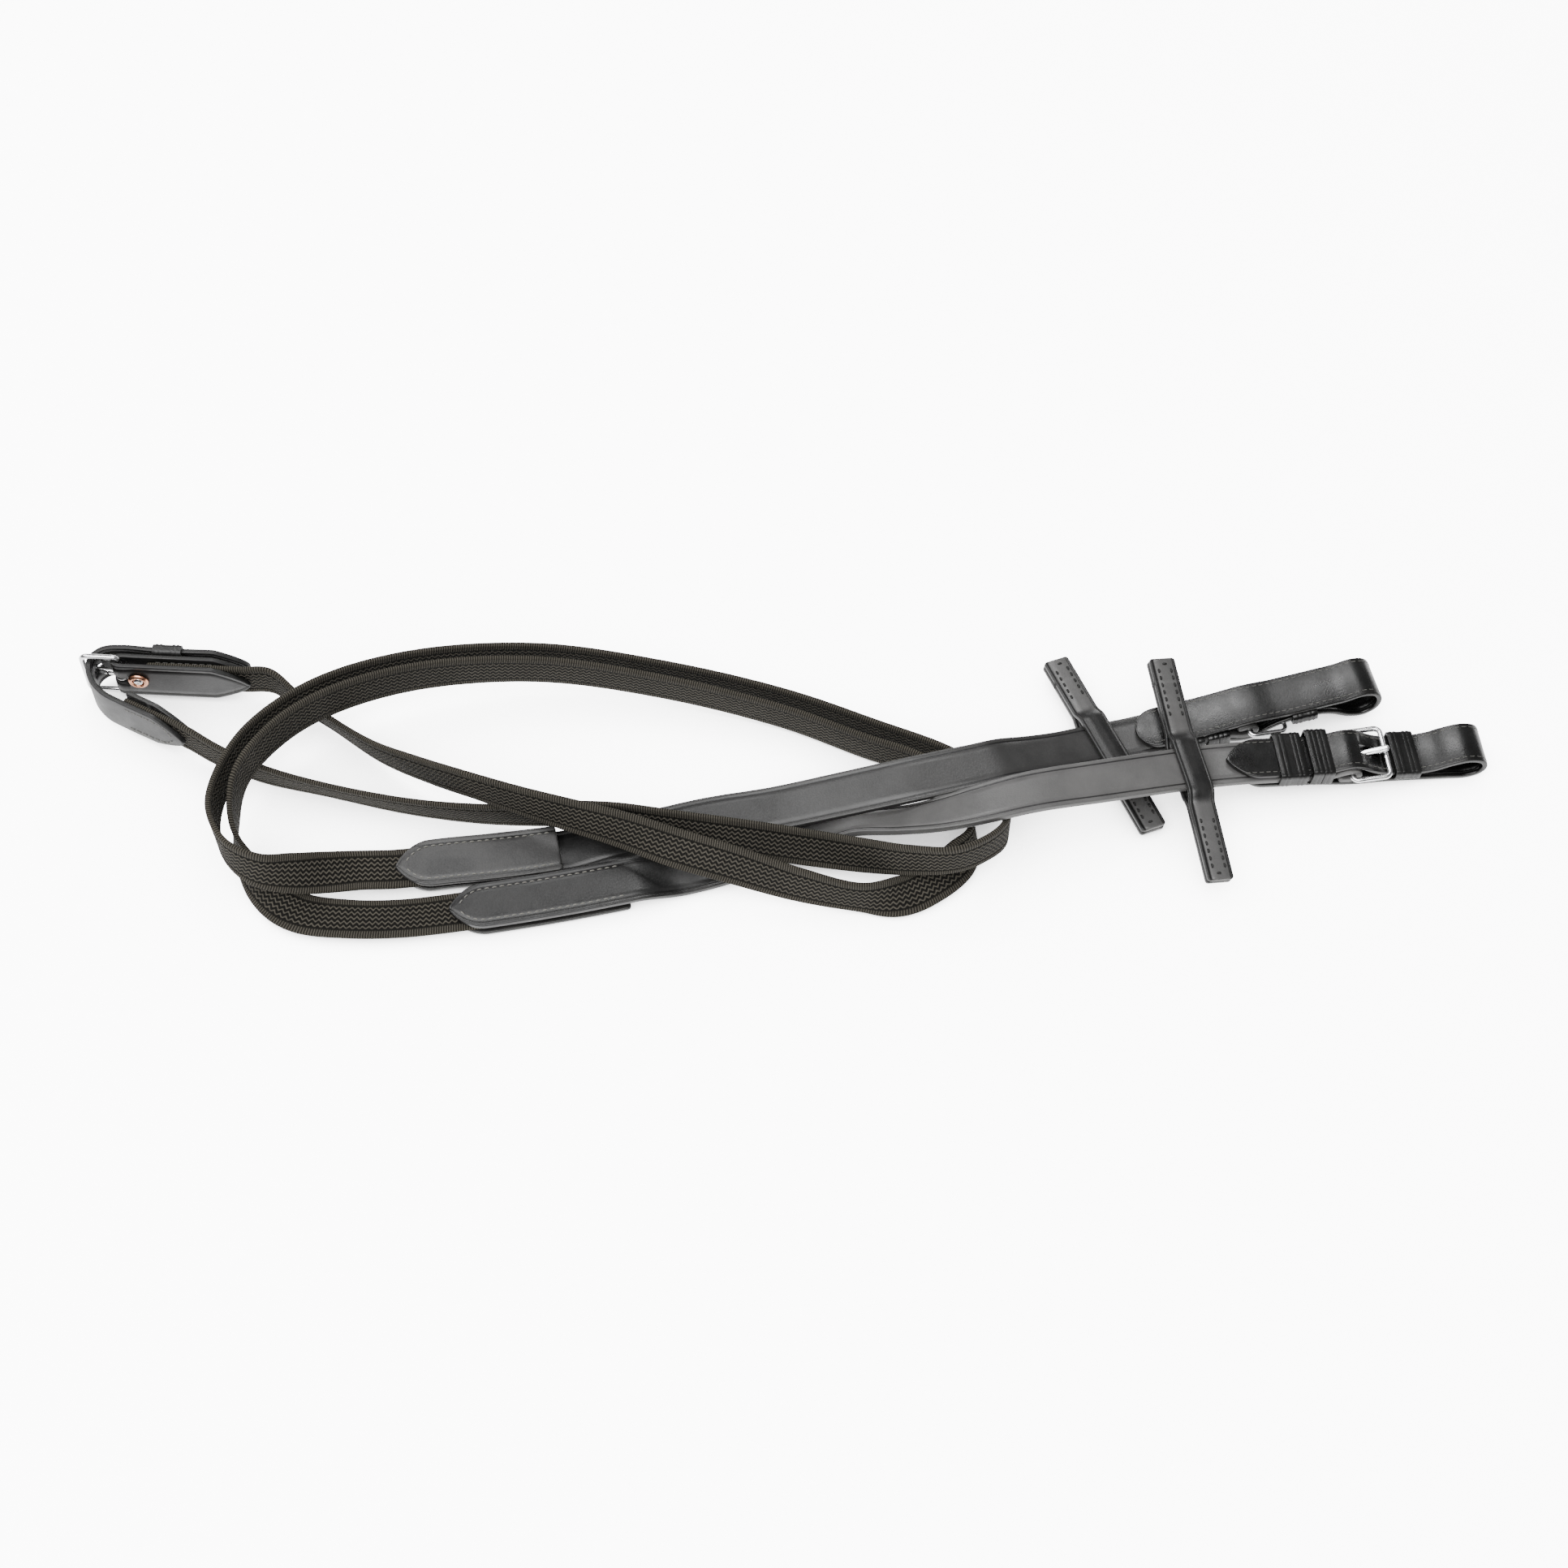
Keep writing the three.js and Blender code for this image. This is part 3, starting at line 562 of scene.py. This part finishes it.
def metal(name, colour, rough):
    shader = Shader(name)
    wear = shader.noise(900.0, 4.0, 0.6)
    tone = shader.mix(shader.span(wear, 0.35, 0.7, 0, 1), tuple(0.86 * c for c in colour[:3]) + (1,), colour)
    return shader.finish(Base_Color=tone, Metallic=1.0, Normal=shader.bump(wear, 0.12, 0.00008),
                         Roughness=shader.span(wear, 0.3, 0.75, rough, rough + 0.12))


def thread(name, colour):
    shader = Shader(name)
    twist = shader.noise(5200.0, 2.0)
    tone = shader.mix(twist, tuple(0.6 * c for c in colour[:3]) + (1,), colour)
    return shader.finish(Base_Color=tone, Roughness=0.7, Normal=shader.bump(twist, 0.4, 0.0001))


# Share of the paler tone past the splice: a painted sheen that stands in for the light reflected along the
# strap.
def painted_sheen_past_the_splice(shader, distance, _across):
    return shader.span(distance, 0.95, 1.03, 0, 1)


webbing_finish = webbing()
STRAP_LINE = STRAP[0] / 2 - EDGE_LINE
# Both rein straps turn paler past the splice. This is a painted sheen, not the leather's own colour.
strap_finishes = {
    "buckle_rein": leather("buckle_rein_strap_leather", 0.005, 0.36, 0.4, STRAP_LINE, 0.07, painted_sheen_past_the_splice),
    "point_rein": leather("point_rein_strap_leather", 0.005, 0.36, 0.4, STRAP_LINE, 0.022, painted_sheen_past_the_splice),
}
pale_finish = leather("pale_leather", 0.022, 0.42, 0.6, STRAP_LINE)
billet_finish = leather("billet_leather", 0.003, 0.26, 0.4, BILLET[0] / 2 - EDGE_LINE)
centre_finish = leather("centre_leather", 0.004, 0.42, 0.4, STRAP_LINE)
lining_finish = leather("lining_leather", 0.012, 0.42, 0.5)
steel = metal("steel", (0.80, 0.80, 0.81, 1), 0.12)
copper = metal("copper", (0.86, 0.42, 0.26, 1), 0.22)
pale_thread = thread("pale_thread", (0.16, 0.155, 0.14, 1))
grey_thread = thread("grey_thread", (0.11, 0.108, 0.1, 1))
black_thread = thread("black_thread", (0.003, 0.003, 0.003, 1))

# Centre buckle, standing on edge.

centre = Frame((-0.270, 0.045, 0.013), (-1, 0.056, 0), (0.056, 1, 0))
CHAPE_FACE = WEB[1] / 2 + GAP + CHAPE[1] / 2
CHAPE_BACK = CHAPE_FACE + CHAPE[1] / 2
EDGED = (EDGE_LINE,)


def buckle_frame(name, place, heel, front, body):
    reach = math.hypot(front[0] - heel[0], front[1] - heel[1])
    slope = math.atan2(front[1] - heel[1], front[0] - heel[0])
    outline = rounded_loop((0, -BUCKLE_HALF), (reach, BUCKLE_HALF), 0.0024)
    u = heel[0] + outline[:, 0] * math.cos(slope)
    n = heel[1] + outline[:, 0] * math.sin(slope)
    points = place.point(u, outline[:, 1], n)
    plane = unit(np.cross(place.u * math.cos(slope) + place.n * math.sin(slope), place.v))
    tube = wire_vertices(points, plane, WIRE)
    faces = ring_faces(len(points), WIRE_SIDES, True)
    uv = np.zeros((len(points) * WIRE_SIDES, 2))
    finished(name, tube.reshape(-1, 3), faces, uv, steel, body=body, nodes=[name], slot="steel")


def buckle_tongue(name, place, heel, front, body):
    bar_distance = math.hypot(front[0] - heel[0], front[1] - heel[1])
    over_front_bar = math.asin((WIRE + GAP + PIN[1] / 2) / bar_distance)
    slope = math.atan2(front[1] - heel[1], front[0] - heel[0]) + over_front_bar
    turn = np.linspace(0, math.tau, 28, endpoint=False)
    eye = place.point(heel[0] + EYE_RADIUS * np.cos(turn), 0 * turn, heel[1] + EYE_RADIUS * np.sin(turn))
    hoop(name + "_eye", eye, -place.v, EYE, section(EYE[1], 0.0004), steel, body=body, nodes=[name],
         slot="steel")
    reach = np.array((0.0019, 0.008, bar_distance + 0.0018))
    pin = np.stack((heel[0] + reach * math.cos(slope), heel[1] + reach * math.sin(slope)), axis=1)
    band(name + "_pin", Route(*profiled(place, pin)), PIN, section(PIN[1], 0.0007), steel,
         tips=("square", "round"), step=0.0006, body=body, slot="steel")


def keeper(name, place, span_u, half_inside, span_n, slot="billet_leather", material=billet_finish):
    low = (-half_inside - KEEPER_WALL / 2, span_n[0] - KEEPER_WALL / 2)
    high = (half_inside + KEEPER_WALL / 2, span_n[1] + KEEPER_WALL / 2)
    outline = rounded_loop(low, high, 0.0013)
    middle = (span_u[0] + span_u[1]) / 2
    points = place.point(np.full(len(outline), middle), outline[:, 0], outline[:, 1])
    ring = section(KEEPER_WALL, 0.0003, (0.0017, 0.0034), -0.00028, 0.0008)
    hoop(name, points, place.u, (span_u[1] - span_u[0], KEEPER_WALL), ring, material, nodes=[name],
         slot=slot)


POINT_CHAPE = np.array((
    (-0.266, 0.0274, 0.013, 90),
    (-0.253, 0.0207, 0.013, 90),
    (-0.240, 0.014, 0.0126, 90),
))


# The point rein's chape line, moved sideways in plan.
def beside_chape(distance):
    run = POINT_CHAPE[-1, :2] - POINT_CHAPE[0, :2]
    inward = unit(np.array((-run[1], run[0]))) * distance
    moved = POINT_CHAPE.copy()
    moved[:, :2] += inward
    return moved


def centre_leathers():
    turn = CHAPE_FACE * math.sqrt(0.5)
    outward = [(-0.053, CHAPE_FACE), (-0.03, CHAPE_FACE), (-0.006, CHAPE_FACE), (0, CHAPE_FACE), (turn, turn)]
    fold = outward + [(CHAPE_FACE, 0)] + [(u, -n) for u, n in reversed(outward)]
    route = Route(*profiled(centre, fold))
    ring = section(CHAPE[1], CORNER, EDGED)
    chape = band("centre_chape", route, CHAPE, ring, centre_finish, tips=("point", "point"), step=0.0011,
                 nodes=["centre_chape"], slot="centre_leather")
    cut_box(chape, centre, (-0.0033, 0.0054), (-0.002, 0.002), (-0.005, 0.0054))
    rows = []
    first_seam = (0, CHAPE_SEAM, ("point", "square"))
    last_seam = (route.length - CHAPE_SEAM, route.length, ("square", "point"))
    for start, end, tips in (first_seam, last_seam):
        for line in border(start, end, CHAPE[0] / 2, SEAM_INSET, tips):
            rows.append(stitched(route, -CHAPE[1] / 2, line, *CENTRE_STITCH))

    outer = beside_chape(-(WEB[1] / 2 + GAP + POINT[1] / 2))[::-1]
    onwards = [(-0.2746, 0.0296), (-0.2798, 0.0356), (-0.282, 0.042), (-0.2813, 0.0474), (-0.277, 0.0512),
               (-0.269, 0.0519), (-0.257, 0.0507), (-0.244, 0.0499), (-0.232, 0.0494), (-0.218, 0.0485)]
    points = np.vstack((outer, [(x, y, 0.013, 90) for x, y in onwards]))
    route = Route(*leaning(points))
    strap = band("centre_point_strap", route, POINT, section(POINT[1], CORNER, EDGED), centre_finish,
                 tips=("point", "point"), nodes=["centre_point_strap"], slot="centre_leather")
    cut_box(strap, centre, (0.0086, 0.0148), (-0.002, 0.002), (-0.0014, 0.0054))
    for face in (-1, 1):
        for line in border(0, 0.032, POINT[0] / 2, SEAM_INSET, ("point", "square")):
            rows.append(stitched(route, face * POINT[1] / 2, line, *CENTRE_STITCH))
    inner = Route(*leaning(beside_chape(WEB[1] / 2 + GAP + CHAPE[1] / 2)))
    band("centre_point_lining", inner, CHAPE, section(CHAPE[1], CORNER, EDGED), lining_finish,
         tips=("square", "point"), nodes=["centre_point_lining"], slot="centre_leather")
    thread_piece("centre_stitches", rows, grey_thread, slot="centre_leather")


def rivet():
    face = -CHAPE_BACK - GAP
    head, shank, washer = 0.0021, 0.00135, 0.0042
    profile = [(0, face - 0.0013), (head * 0.5, face - 0.00125), (head * 0.8, face - 0.0011),
               (head, face - 0.0006), (head, face), (shank, face), (shank, face + 0.0022), (0, face + 0.0022)]
    ring = [(head + GAP, face - 0.0009), (head + 0.0006, face - 0.00125), (head + 0.0012, face - 0.0013),
            (washer - 0.0004, face - 0.0010), (washer, face - 0.0005), (washer, face), (head + GAP, face)]
    spot = (-0.0074, 0.001)
    lathe("centre_rivet", profile, centre, *spot, steel, nodes=["centre_rivet"], slot="steel")
    lathe("centre_rivet_washer", ring, centre, *spot, copper, nodes=["centre_rivet_washer"], slot="copper")


def centre_buckle():
    heel, front = (0, 0), (BUCKLE_REACH, 0)
    centre_leathers()
    rivet()
    buckle_frame("centre_buckle_frame", centre, heel, front, "centre_buckle")
    buckle_tongue("centre_buckle_tongue", centre, heel, front, "centre_tongue")
    low = CHAPE_BACK + GAP + KEEPER_WALL
    keeper("centre_keeper", centre, (-0.025, -0.013), POINT[0] / 2 + 0.0005, (low, low + POINT[1] + 0.0007),
           "centre_leather", centre_finish)


# Reins: route points (x, y, z, lean) of web, splice and strap.
BUCKLE_REIN_POINTS = {
    "web": [
        (-0.197, 0.0334, 0.01, 97),
        (-0.184, 0.024, 0.009, 103),
        (-0.164, 0.009, 0.0105, 98),
        (-0.143, -0.0045, 0.0175, 92),
        (-0.122, -0.0175, 0.0265, 88),
        (-0.105, -0.024, 0.027, 82),
        (-0.088, -0.0295, 0.0265, 74),
        (-0.064, -0.0355, 0.0235, 62),
        (-0.043, -0.042, 0.0205, 52),
        (-0.02, -0.0475, 0.0165, 56),
        (0.006, -0.054, 0.012, 70),
        (0.03, -0.058, 0.0092, 80),
        (0.0465, -0.0561, 0.0071, 42),
        (0.058, -0.0498, 0.0064, 30),
        (0.0685, -0.0405, 0.0066, 36),
        (0.075, -0.029, 0.0086, 80),
        (0.069, -0.011, 0.0087, 90),
        (0.056, 0.003, 0.0087, 90),
        (0.032, 0.013, 0.0087, 90),
        (0.0, 0.026, 0.01, 88),
        (-0.05, 0.0385, 0.0135, 88),
        (-0.101, 0.0435, 0.0185, 91),
        (-0.151, 0.036, 0.0235, 94),
        (-0.1855, 0.021, 0.026, 95),
        (-0.2045, 0.0048, 0.026, 95),
        (-0.215, -0.012, 0.024, 94),
        (-0.217, -0.027, 0.017, 92),
        (-0.2135, -0.04, 0.0105, 74),
        (-0.203, -0.0545, 0.0076, 42),
        (-0.19, -0.0626, 0.0054, 14),
        (-0.17, -0.0654, 0.005, 4),
        (-0.15, -0.0652, 0.005, 3),
    ],
    "splice": [
        (-0.131, -0.063, 0.0052, 4),
        (-0.095, -0.0568, 0.0053, 5),
        (-0.062, -0.0496, 0.005, 4),
    ],
    "strap": [
        (-0.03, -0.0405, 0.0024, 0),
        (-0.006, -0.0315, 0.0025, -2),
        (0.004, -0.0285, 0.004, -6),
        (0.014, -0.0265, 0.007, -18),
        (0.028, -0.0255, 0.0112, -32),
        (0.048, -0.0275, 0.0176, -26),
        (0.062, -0.028, 0.0228, -18),
        (0.076, -0.0265, 0.0268, -11),
        (0.097, -0.0205, 0.0268, -5),
        (0.125, -0.013, 0.0228, -1),
        (0.15, -0.0064, 0.0189, 0),
    ],
}
POINT_REIN_POINTS = {
    "web": [
        (-0.229, 0.008, 0.0105, 92),
        (-0.211, 0.0, 0.0089, 98),
        (-0.184, -0.008, 0.0089, 106),
        (-0.15, -0.016, 0.0089, 103),
        (-0.122, -0.0195, 0.0089, 98),
        (-0.103, -0.021, 0.0105, 94),
        (-0.088, -0.0232, 0.0148, 88),
        (-0.066, -0.027, 0.0182, 78),
        (-0.043, -0.031, 0.0176, 70),
        (-0.015, -0.035, 0.0158, 62),
        (0.008, -0.038, 0.014, 62),
        (0.032, -0.0439, 0.0174, 70),
        (0.05, -0.049, 0.0226, 80),
        (0.067, -0.0502, 0.0252, 86),
        (0.08, -0.0428, 0.0226, 88),
        (0.088, -0.0295, 0.0155, 90),
        (0.086, -0.012, 0.0095, 91),
        (0.07, 0.0045, 0.0087, 90),
        (0.036, 0.02, 0.0087, 90),
        (0.0, 0.034, 0.01, 88),
        (-0.05, 0.0455, 0.0135, 88),
        (-0.101, 0.05, 0.0185, 91),
        (-0.152, 0.042, 0.0235, 96),
        (-0.188, 0.0265, 0.026, 99),
        (-0.211, 0.0065, 0.026, 100),
        (-0.221, -0.013, 0.026, 99),
        (-0.2235, -0.031, 0.026, 97),
        (-0.217, -0.0465, 0.026, 86),
        (-0.205, -0.054, 0.024, 70),
        (-0.192, -0.0528, 0.019, 50),
        (-0.179, -0.0486, 0.0125, 26),
        (-0.167, -0.0454, 0.0086, 10),
    ],
    "splice": [
        (-0.153, -0.0442, 0.0074, 8),
        (-0.132, -0.0412, 0.007, 8),
        (-0.112, -0.0388, 0.0068, 8),
        (-0.089, -0.0352, 0.0066, 5),
    ],
    "strap": [
        (-0.06, -0.027, 0.004, 3),
        (-0.03, -0.0202, 0.0056, 4),
        (-0.004, -0.017, 0.0082, 6),
        (0.022, -0.0145, 0.0146, 8),
        (0.048, -0.0115, 0.0206, 8),
        (0.062, -0.0085, 0.0214, 7),
        (0.076, -0.005, 0.0214, 5),
        (0.087, -0.0015, 0.0204, 4),
        (0.099, 0.0034, 0.0152, 2),
        (0.111, 0.0084, 0.0104, 0),
        (0.121, 0.0124, 0.0076, 0),
    ],
}

# Bit ends, as (u, n) in the frame of the heel bar.
RETURN_LAYER = 0.0067
HEEL_BAR = (0, 0.0048)
FRONT_BAR = (BUCKLE_REACH, 0.0074)
STRAP_FOLD = mm((-57, 2.9), (-46, 3.8), (-32, 4), (-16, 4), (-8, 4.9), (-3, 7.1), (0, 7.6), (2, 6.7),
                (2.8, 4.8), (2, 2.9), (0, 2), (-5, 2.1))
UNDERLAY = mm((-45, 0.2), (-30, 0), (-16, 0), (-7, -0.6), (-2, -1), (4, -1), (12, -0.2), (20, 0), (31, 0))
RETURN = mm((22, 4.4), (16, 4.6), (12, 5.5), (8, 7.2), (4, 9.4), (0, 10.5), (-3.5, 10), (-9, 8), (-17, 6.7),
            (-26, 6.7), (-51, 6.7))
FACE_UP_LOOP = mm((41, 0), (49, 0), (54, 2.4), (55.4, 6), (53.4, 9.8), (48, 11.2), (41, 9.2), (35, 6.2),
                  (29, 4.6))
FACE_DOWN_LOOP = mm((40, 0), (48, -1), (53, 1), (55, 5.6), (53.6, 10.6), (48.5, 13.2), (42, 11.4), (36, 7.2),
                    (30, 4.8))
buckle_bit_end = Frame((0.226, 0.006, 0.006), pitched(7, -6), (0, 0, 1))
point_bit_end = Frame((0.186, 0.0286, 0.0135), pitched(13, 5), (0, 0, -1))


def bit_end(rein, place, loop):
    route = Route(*profiled(place, np.vstack((UNDERLAY, loop, RETURN))))
    billet = band(rein + "_billet", route, BILLET, section(BILLET[1], 0.0006, EDGED), billet_finish,
                  tips=("round", "spear"), nodes=[rein + "_billet"], slot="billet_leather")
    cut_box(billet, place, (0.0036, 0.013), (-0.002, 0.002), (0.003, 0.013))
    buckle_frame(rein + "_bit_buckle_frame", place, HEEL_BAR, FRONT_BAR, rein + "_buckle")
    buckle_tongue(rein + "_bit_buckle_tongue", place, HEEL_BAR, FRONT_BAR, rein + "_tongue")
    over = RETURN_LAYER + BILLET[1] / 2 + GAP
    base = BILLET[1] / 2 + GAP + KEEPER_WALL
    strap_half = STRAP[0] / 2 + 0.0004
    keeper(rein + "_tip_keeper", place, (-0.0305, -0.019), strap_half, (base, over))
    keeper(rein + "_buckle_keeper", place, (-0.0175, -0.0085), strap_half, (base, over + 0.0017))
    keeper(rein + "_loop_keeper", place, (0.018, 0.0285), BILLET[0] / 2 + 0.0004, (base, 0.0061))
    lines = [[(0.004, side), (route.length - 0.004, side)] for side in (-0.0071, 0.0071)]
    rows = [stitched(route, -BILLET[1] / 2, line, *BILLET_STITCH) for line in lines]
    thread_piece(rein + "_billet_stitches", rows, grey_thread, slot="billet_leather")


# The web is a free, limp band of its own real length.
def web(rein, route, end):
    ring = section(WEB[1], 0.0009, (SELVEDGE,), 0.00025, 0.0005)
    piece = band(rein + "_web", route, WEB, ring, webbing_finish, end=end, step=0.0012,
                 nodes=[rein + "_web"], slot="webbing")
    path = route.at(np.linspace(0, end, 400))[0]


def rein(name, web_start, points, place, side, strap_over):
    run = leaning(points["web"] + points["splice"] + points["strap"])
    route = Route(*joined(web_start, run, profiled(place, STRAP_FOLD, side)))
    before = len(web_start[0]) + len(points["web"])
    tip = route.knot(before)
    splice_end = route.knot(before + len(points["splice"]) - 1)
    web(name, route, splice_end)
    strap_lift = strap_over * (WEB[1] / 2 + SPLICE_GAP + STRAP[1] / 2)
    tab_lift = -strap_over * (WEB[1] / 2 + SPLICE_GAP + TAB[1] / 2)

    def lift(s):
        return strap_lift * (1 - smoothstep(s, splice_end + 0.002, splice_end + 0.022))

    strap = band(name + "_strap", route, STRAP, section(STRAP[1], CORNER, EDGED), strap_finishes[name],
                 start=tip, tips=("spear", "square"), lift=lift, nodes=[name + "_strap"],
                 slot="strap_leather")
    cut_box(strap, place, (-0.0034, 0.005), (-0.002, 0.002), (0, 0.0092))
    band(name + "_splice_tab", route, TAB, section(TAB[1], CORNER, EDGED), pale_finish, start=tip,
         end=splice_end, tips=("spear", "square"), lift=lambda s: 0 * s + tab_lift,
         nodes=[name + "_splice_tab"], slot="strap_leather")
    rows = []
    for size, height in ((STRAP, strap_lift), (TAB, tab_lift)):
        height += math.copysign(size[1] / 2, height)
        for line in border(tip, splice_end, size[0] / 2, SPLICE_SEAM_INSET, open_end=True):
            rows.append(stitched(route, height, line, *SPLICE_STITCH))
    thread_piece(name + "_splice_stitches", rows, pale_thread, slot="strap_leather")
    return route


# Two leathers that hold the strap between them, stitched along both arms.
def rein_stop(name, strap_route, distance, half_length, skew, far_rise, near_rise):
    centre_point, along, across, normal = (values[0] for values in strap_route.at(np.array([distance])))
    turn = math.radians(skew)
    along, across = (along * math.cos(turn) + across * math.sin(turn),
                     across * math.cos(turn) - along * math.sin(turn))
    slot_half = STRAP[0] / 2 + 0.0015
    shares = np.array((1, 0.65, 0.35, slot_half / half_length, 0))
    shares = np.concatenate((shares, -shares[-2::-1]))
    v = shares * half_length
    beyond = np.clip(np.abs(v) - slot_half, 0, None)
    rise = np.where(v > 0, far_rise, near_rise) * beyond / (half_length - slot_half)
    places = centre_point + v[:, None] * across + rise[:, None] * normal
    route = Route(places, np.tile(along, (len(places), 1)))
    arm = (STOP[1] + GAP) / 2
    over = (STRAP[1] + STOP[1]) / 2 + 0.0011

    def bow(s):
        return over + (arm - over) * smoothstep(np.abs(s - route.length / 2), slot_half, slot_half + 0.006)

    def arm_panels(shader, s, x):
        arms = shader.math("ABSOLUTE", shader.math("SUBTRACT", s, float(route.length / 2)))
        inside = shader.span(shader.math("ABSOLUTE", x), 0.0036, 0.0042, 1, 0)
        return shader.math("MULTIPLY", inside, shader.span(arms, slot_half + 0.003, slot_half + 0.007, 0, 1))

    finish = leather(name + "_stop_leather", 0.008, 0.34, 0.4, None, 0.075, arm_panels)
    ring = section(STOP[1], CORNER, (0.0013,), 0.0003, 0.0003)
    for layer, face in (("front", 1), ("back", -1)):
        node = f"{name}_stop_{layer}"
        band(node, route, STOP, ring, finish, lift=lambda s: face * bow(s), step=0.001, body=name + "_stop",
             nodes=[node], slot="stop_leather")
    rows = []
    reach = half_length - slot_half - 0.007
    for start, end in ((0.0, reach), (route.length - reach, route.length)):
        inner = STOP[0] / 2 - SEAM_INSET
        first, last = start + SEAM_INSET, end - SEAM_INSET
        corners = [(first, inner), (last, inner), (last, -inner), (first, -inner)]
        for line in (corners[:2], corners[2:], corners[1:3] if start else [corners[3], corners[0]]):
            for face in (-1, 1):
                rows.append(stitched(route, lambda s: face * (bow(s) + STOP[1] / 2), line, *STOP_STITCH))
    thread_piece(name + "_stop_stitches", rows, black_thread, body=name + "_stop", slot="stop_leather")


centre_buckle()
buckle_start = profiled(centre, mm((-11, 0), (-30, 0), (-50, 0), (-61, 0)))
buckle_route = rein("buckle_rein", buckle_start, BUCKLE_REIN_POINTS, buckle_bit_end, 1, 1)
point_route = rein("point_rein", leaning(POINT_CHAPE), POINT_REIN_POINTS, point_bit_end, -1, -1)
bit_end("buckle_rein", buckle_bit_end, FACE_UP_LOOP)
bit_end("point_rein", point_bit_end, FACE_DOWN_LOOP)
rein_stop("buckle_rein", buckle_route, buckle_route.length - 0.080, 0.049, -3.5, 0.006, -0.0065)
rein_stop("point_rein", point_route, point_route.length - 0.073, 0.0435, 7, 0, -0.0005)

# White table and soft studio light.


# The table glows brighter to the camera than to the object, and is darker near the object: a painted shadow,
# drawn from ambient occlusion.
def floor():
    half = 6
    shadow_reach = 0.09
    seen_glow = 9.0
    cast_glow = 1.4
    corners = [(-half, -half, 0), (half, -half, 0), (half, half, 0), (-half, half, 0)]
    mesh = bpy.data.meshes.new("floor")
    mesh.from_pydata(corners, [], [(0, 1, 2, 3)])
    shader = Shader("table")
    openness = shader.node("ShaderNodeAmbientOcclusion", {"Distance": shadow_reach}, samples=8).outputs["AO"]
    seen = shader.node("ShaderNodeLightPath").outputs["Is Camera Ray"]
    bright = shader.math("MULTIPLY", shader.span(openness, 0.0, 0.97, 0.05, 1), seen_glow)
    extra = shader.math("MULTIPLY", seen, shader.math("SUBTRACT", bright, cast_glow))
    glow = shader.math("ADD", extra, cast_glow)
    mesh.materials.append(shader.finish(Base_Color=(0.9, 0.9, 0.9, 1), Roughness=0.9, Specular_IOR_Level=0.1,
                                        Emission_Color=(1, 1, 1, 1), Emission_Strength=glow))
    table = bpy.data.objects.new("floor", mesh)
    bpy.context.collection.objects.link(table)


def softbox(name, place, size, power):
    light = bpy.data.lights.new(name, "AREA")
    light.shape = "RECTANGLE"
    light.size, light.size_y = size
    light.energy = power
    lamp = bpy.data.objects.new(name, light)
    lamp.location = place
    lamp.rotation_euler = (Vector((0, 0, 0)) - lamp.location).to_track_quat("-Z", "Y").to_euler()
    bpy.context.collection.objects.link(lamp)


def world():
    sky = bpy.data.worlds.new("studio")
    sky.use_nodes = True
    sky.node_tree.nodes["Background"].inputs["Color"].default_value = (1, 1, 1, 1)
    sky.node_tree.nodes["Background"].inputs["Strength"].default_value = 0.3
    bpy.context.scene.world = sky


floor()
world()
softbox("front_softbox", (-0.3, -0.6, 1.5), (1.6, 1.2), 50)
softbox("side_softbox", (-1.0, 0.5, 1.1), (0.7, 0.7), 12)
softbox("back_softbox", (0.0, 0.74, 1.15), (0.6, 0.35), 8)
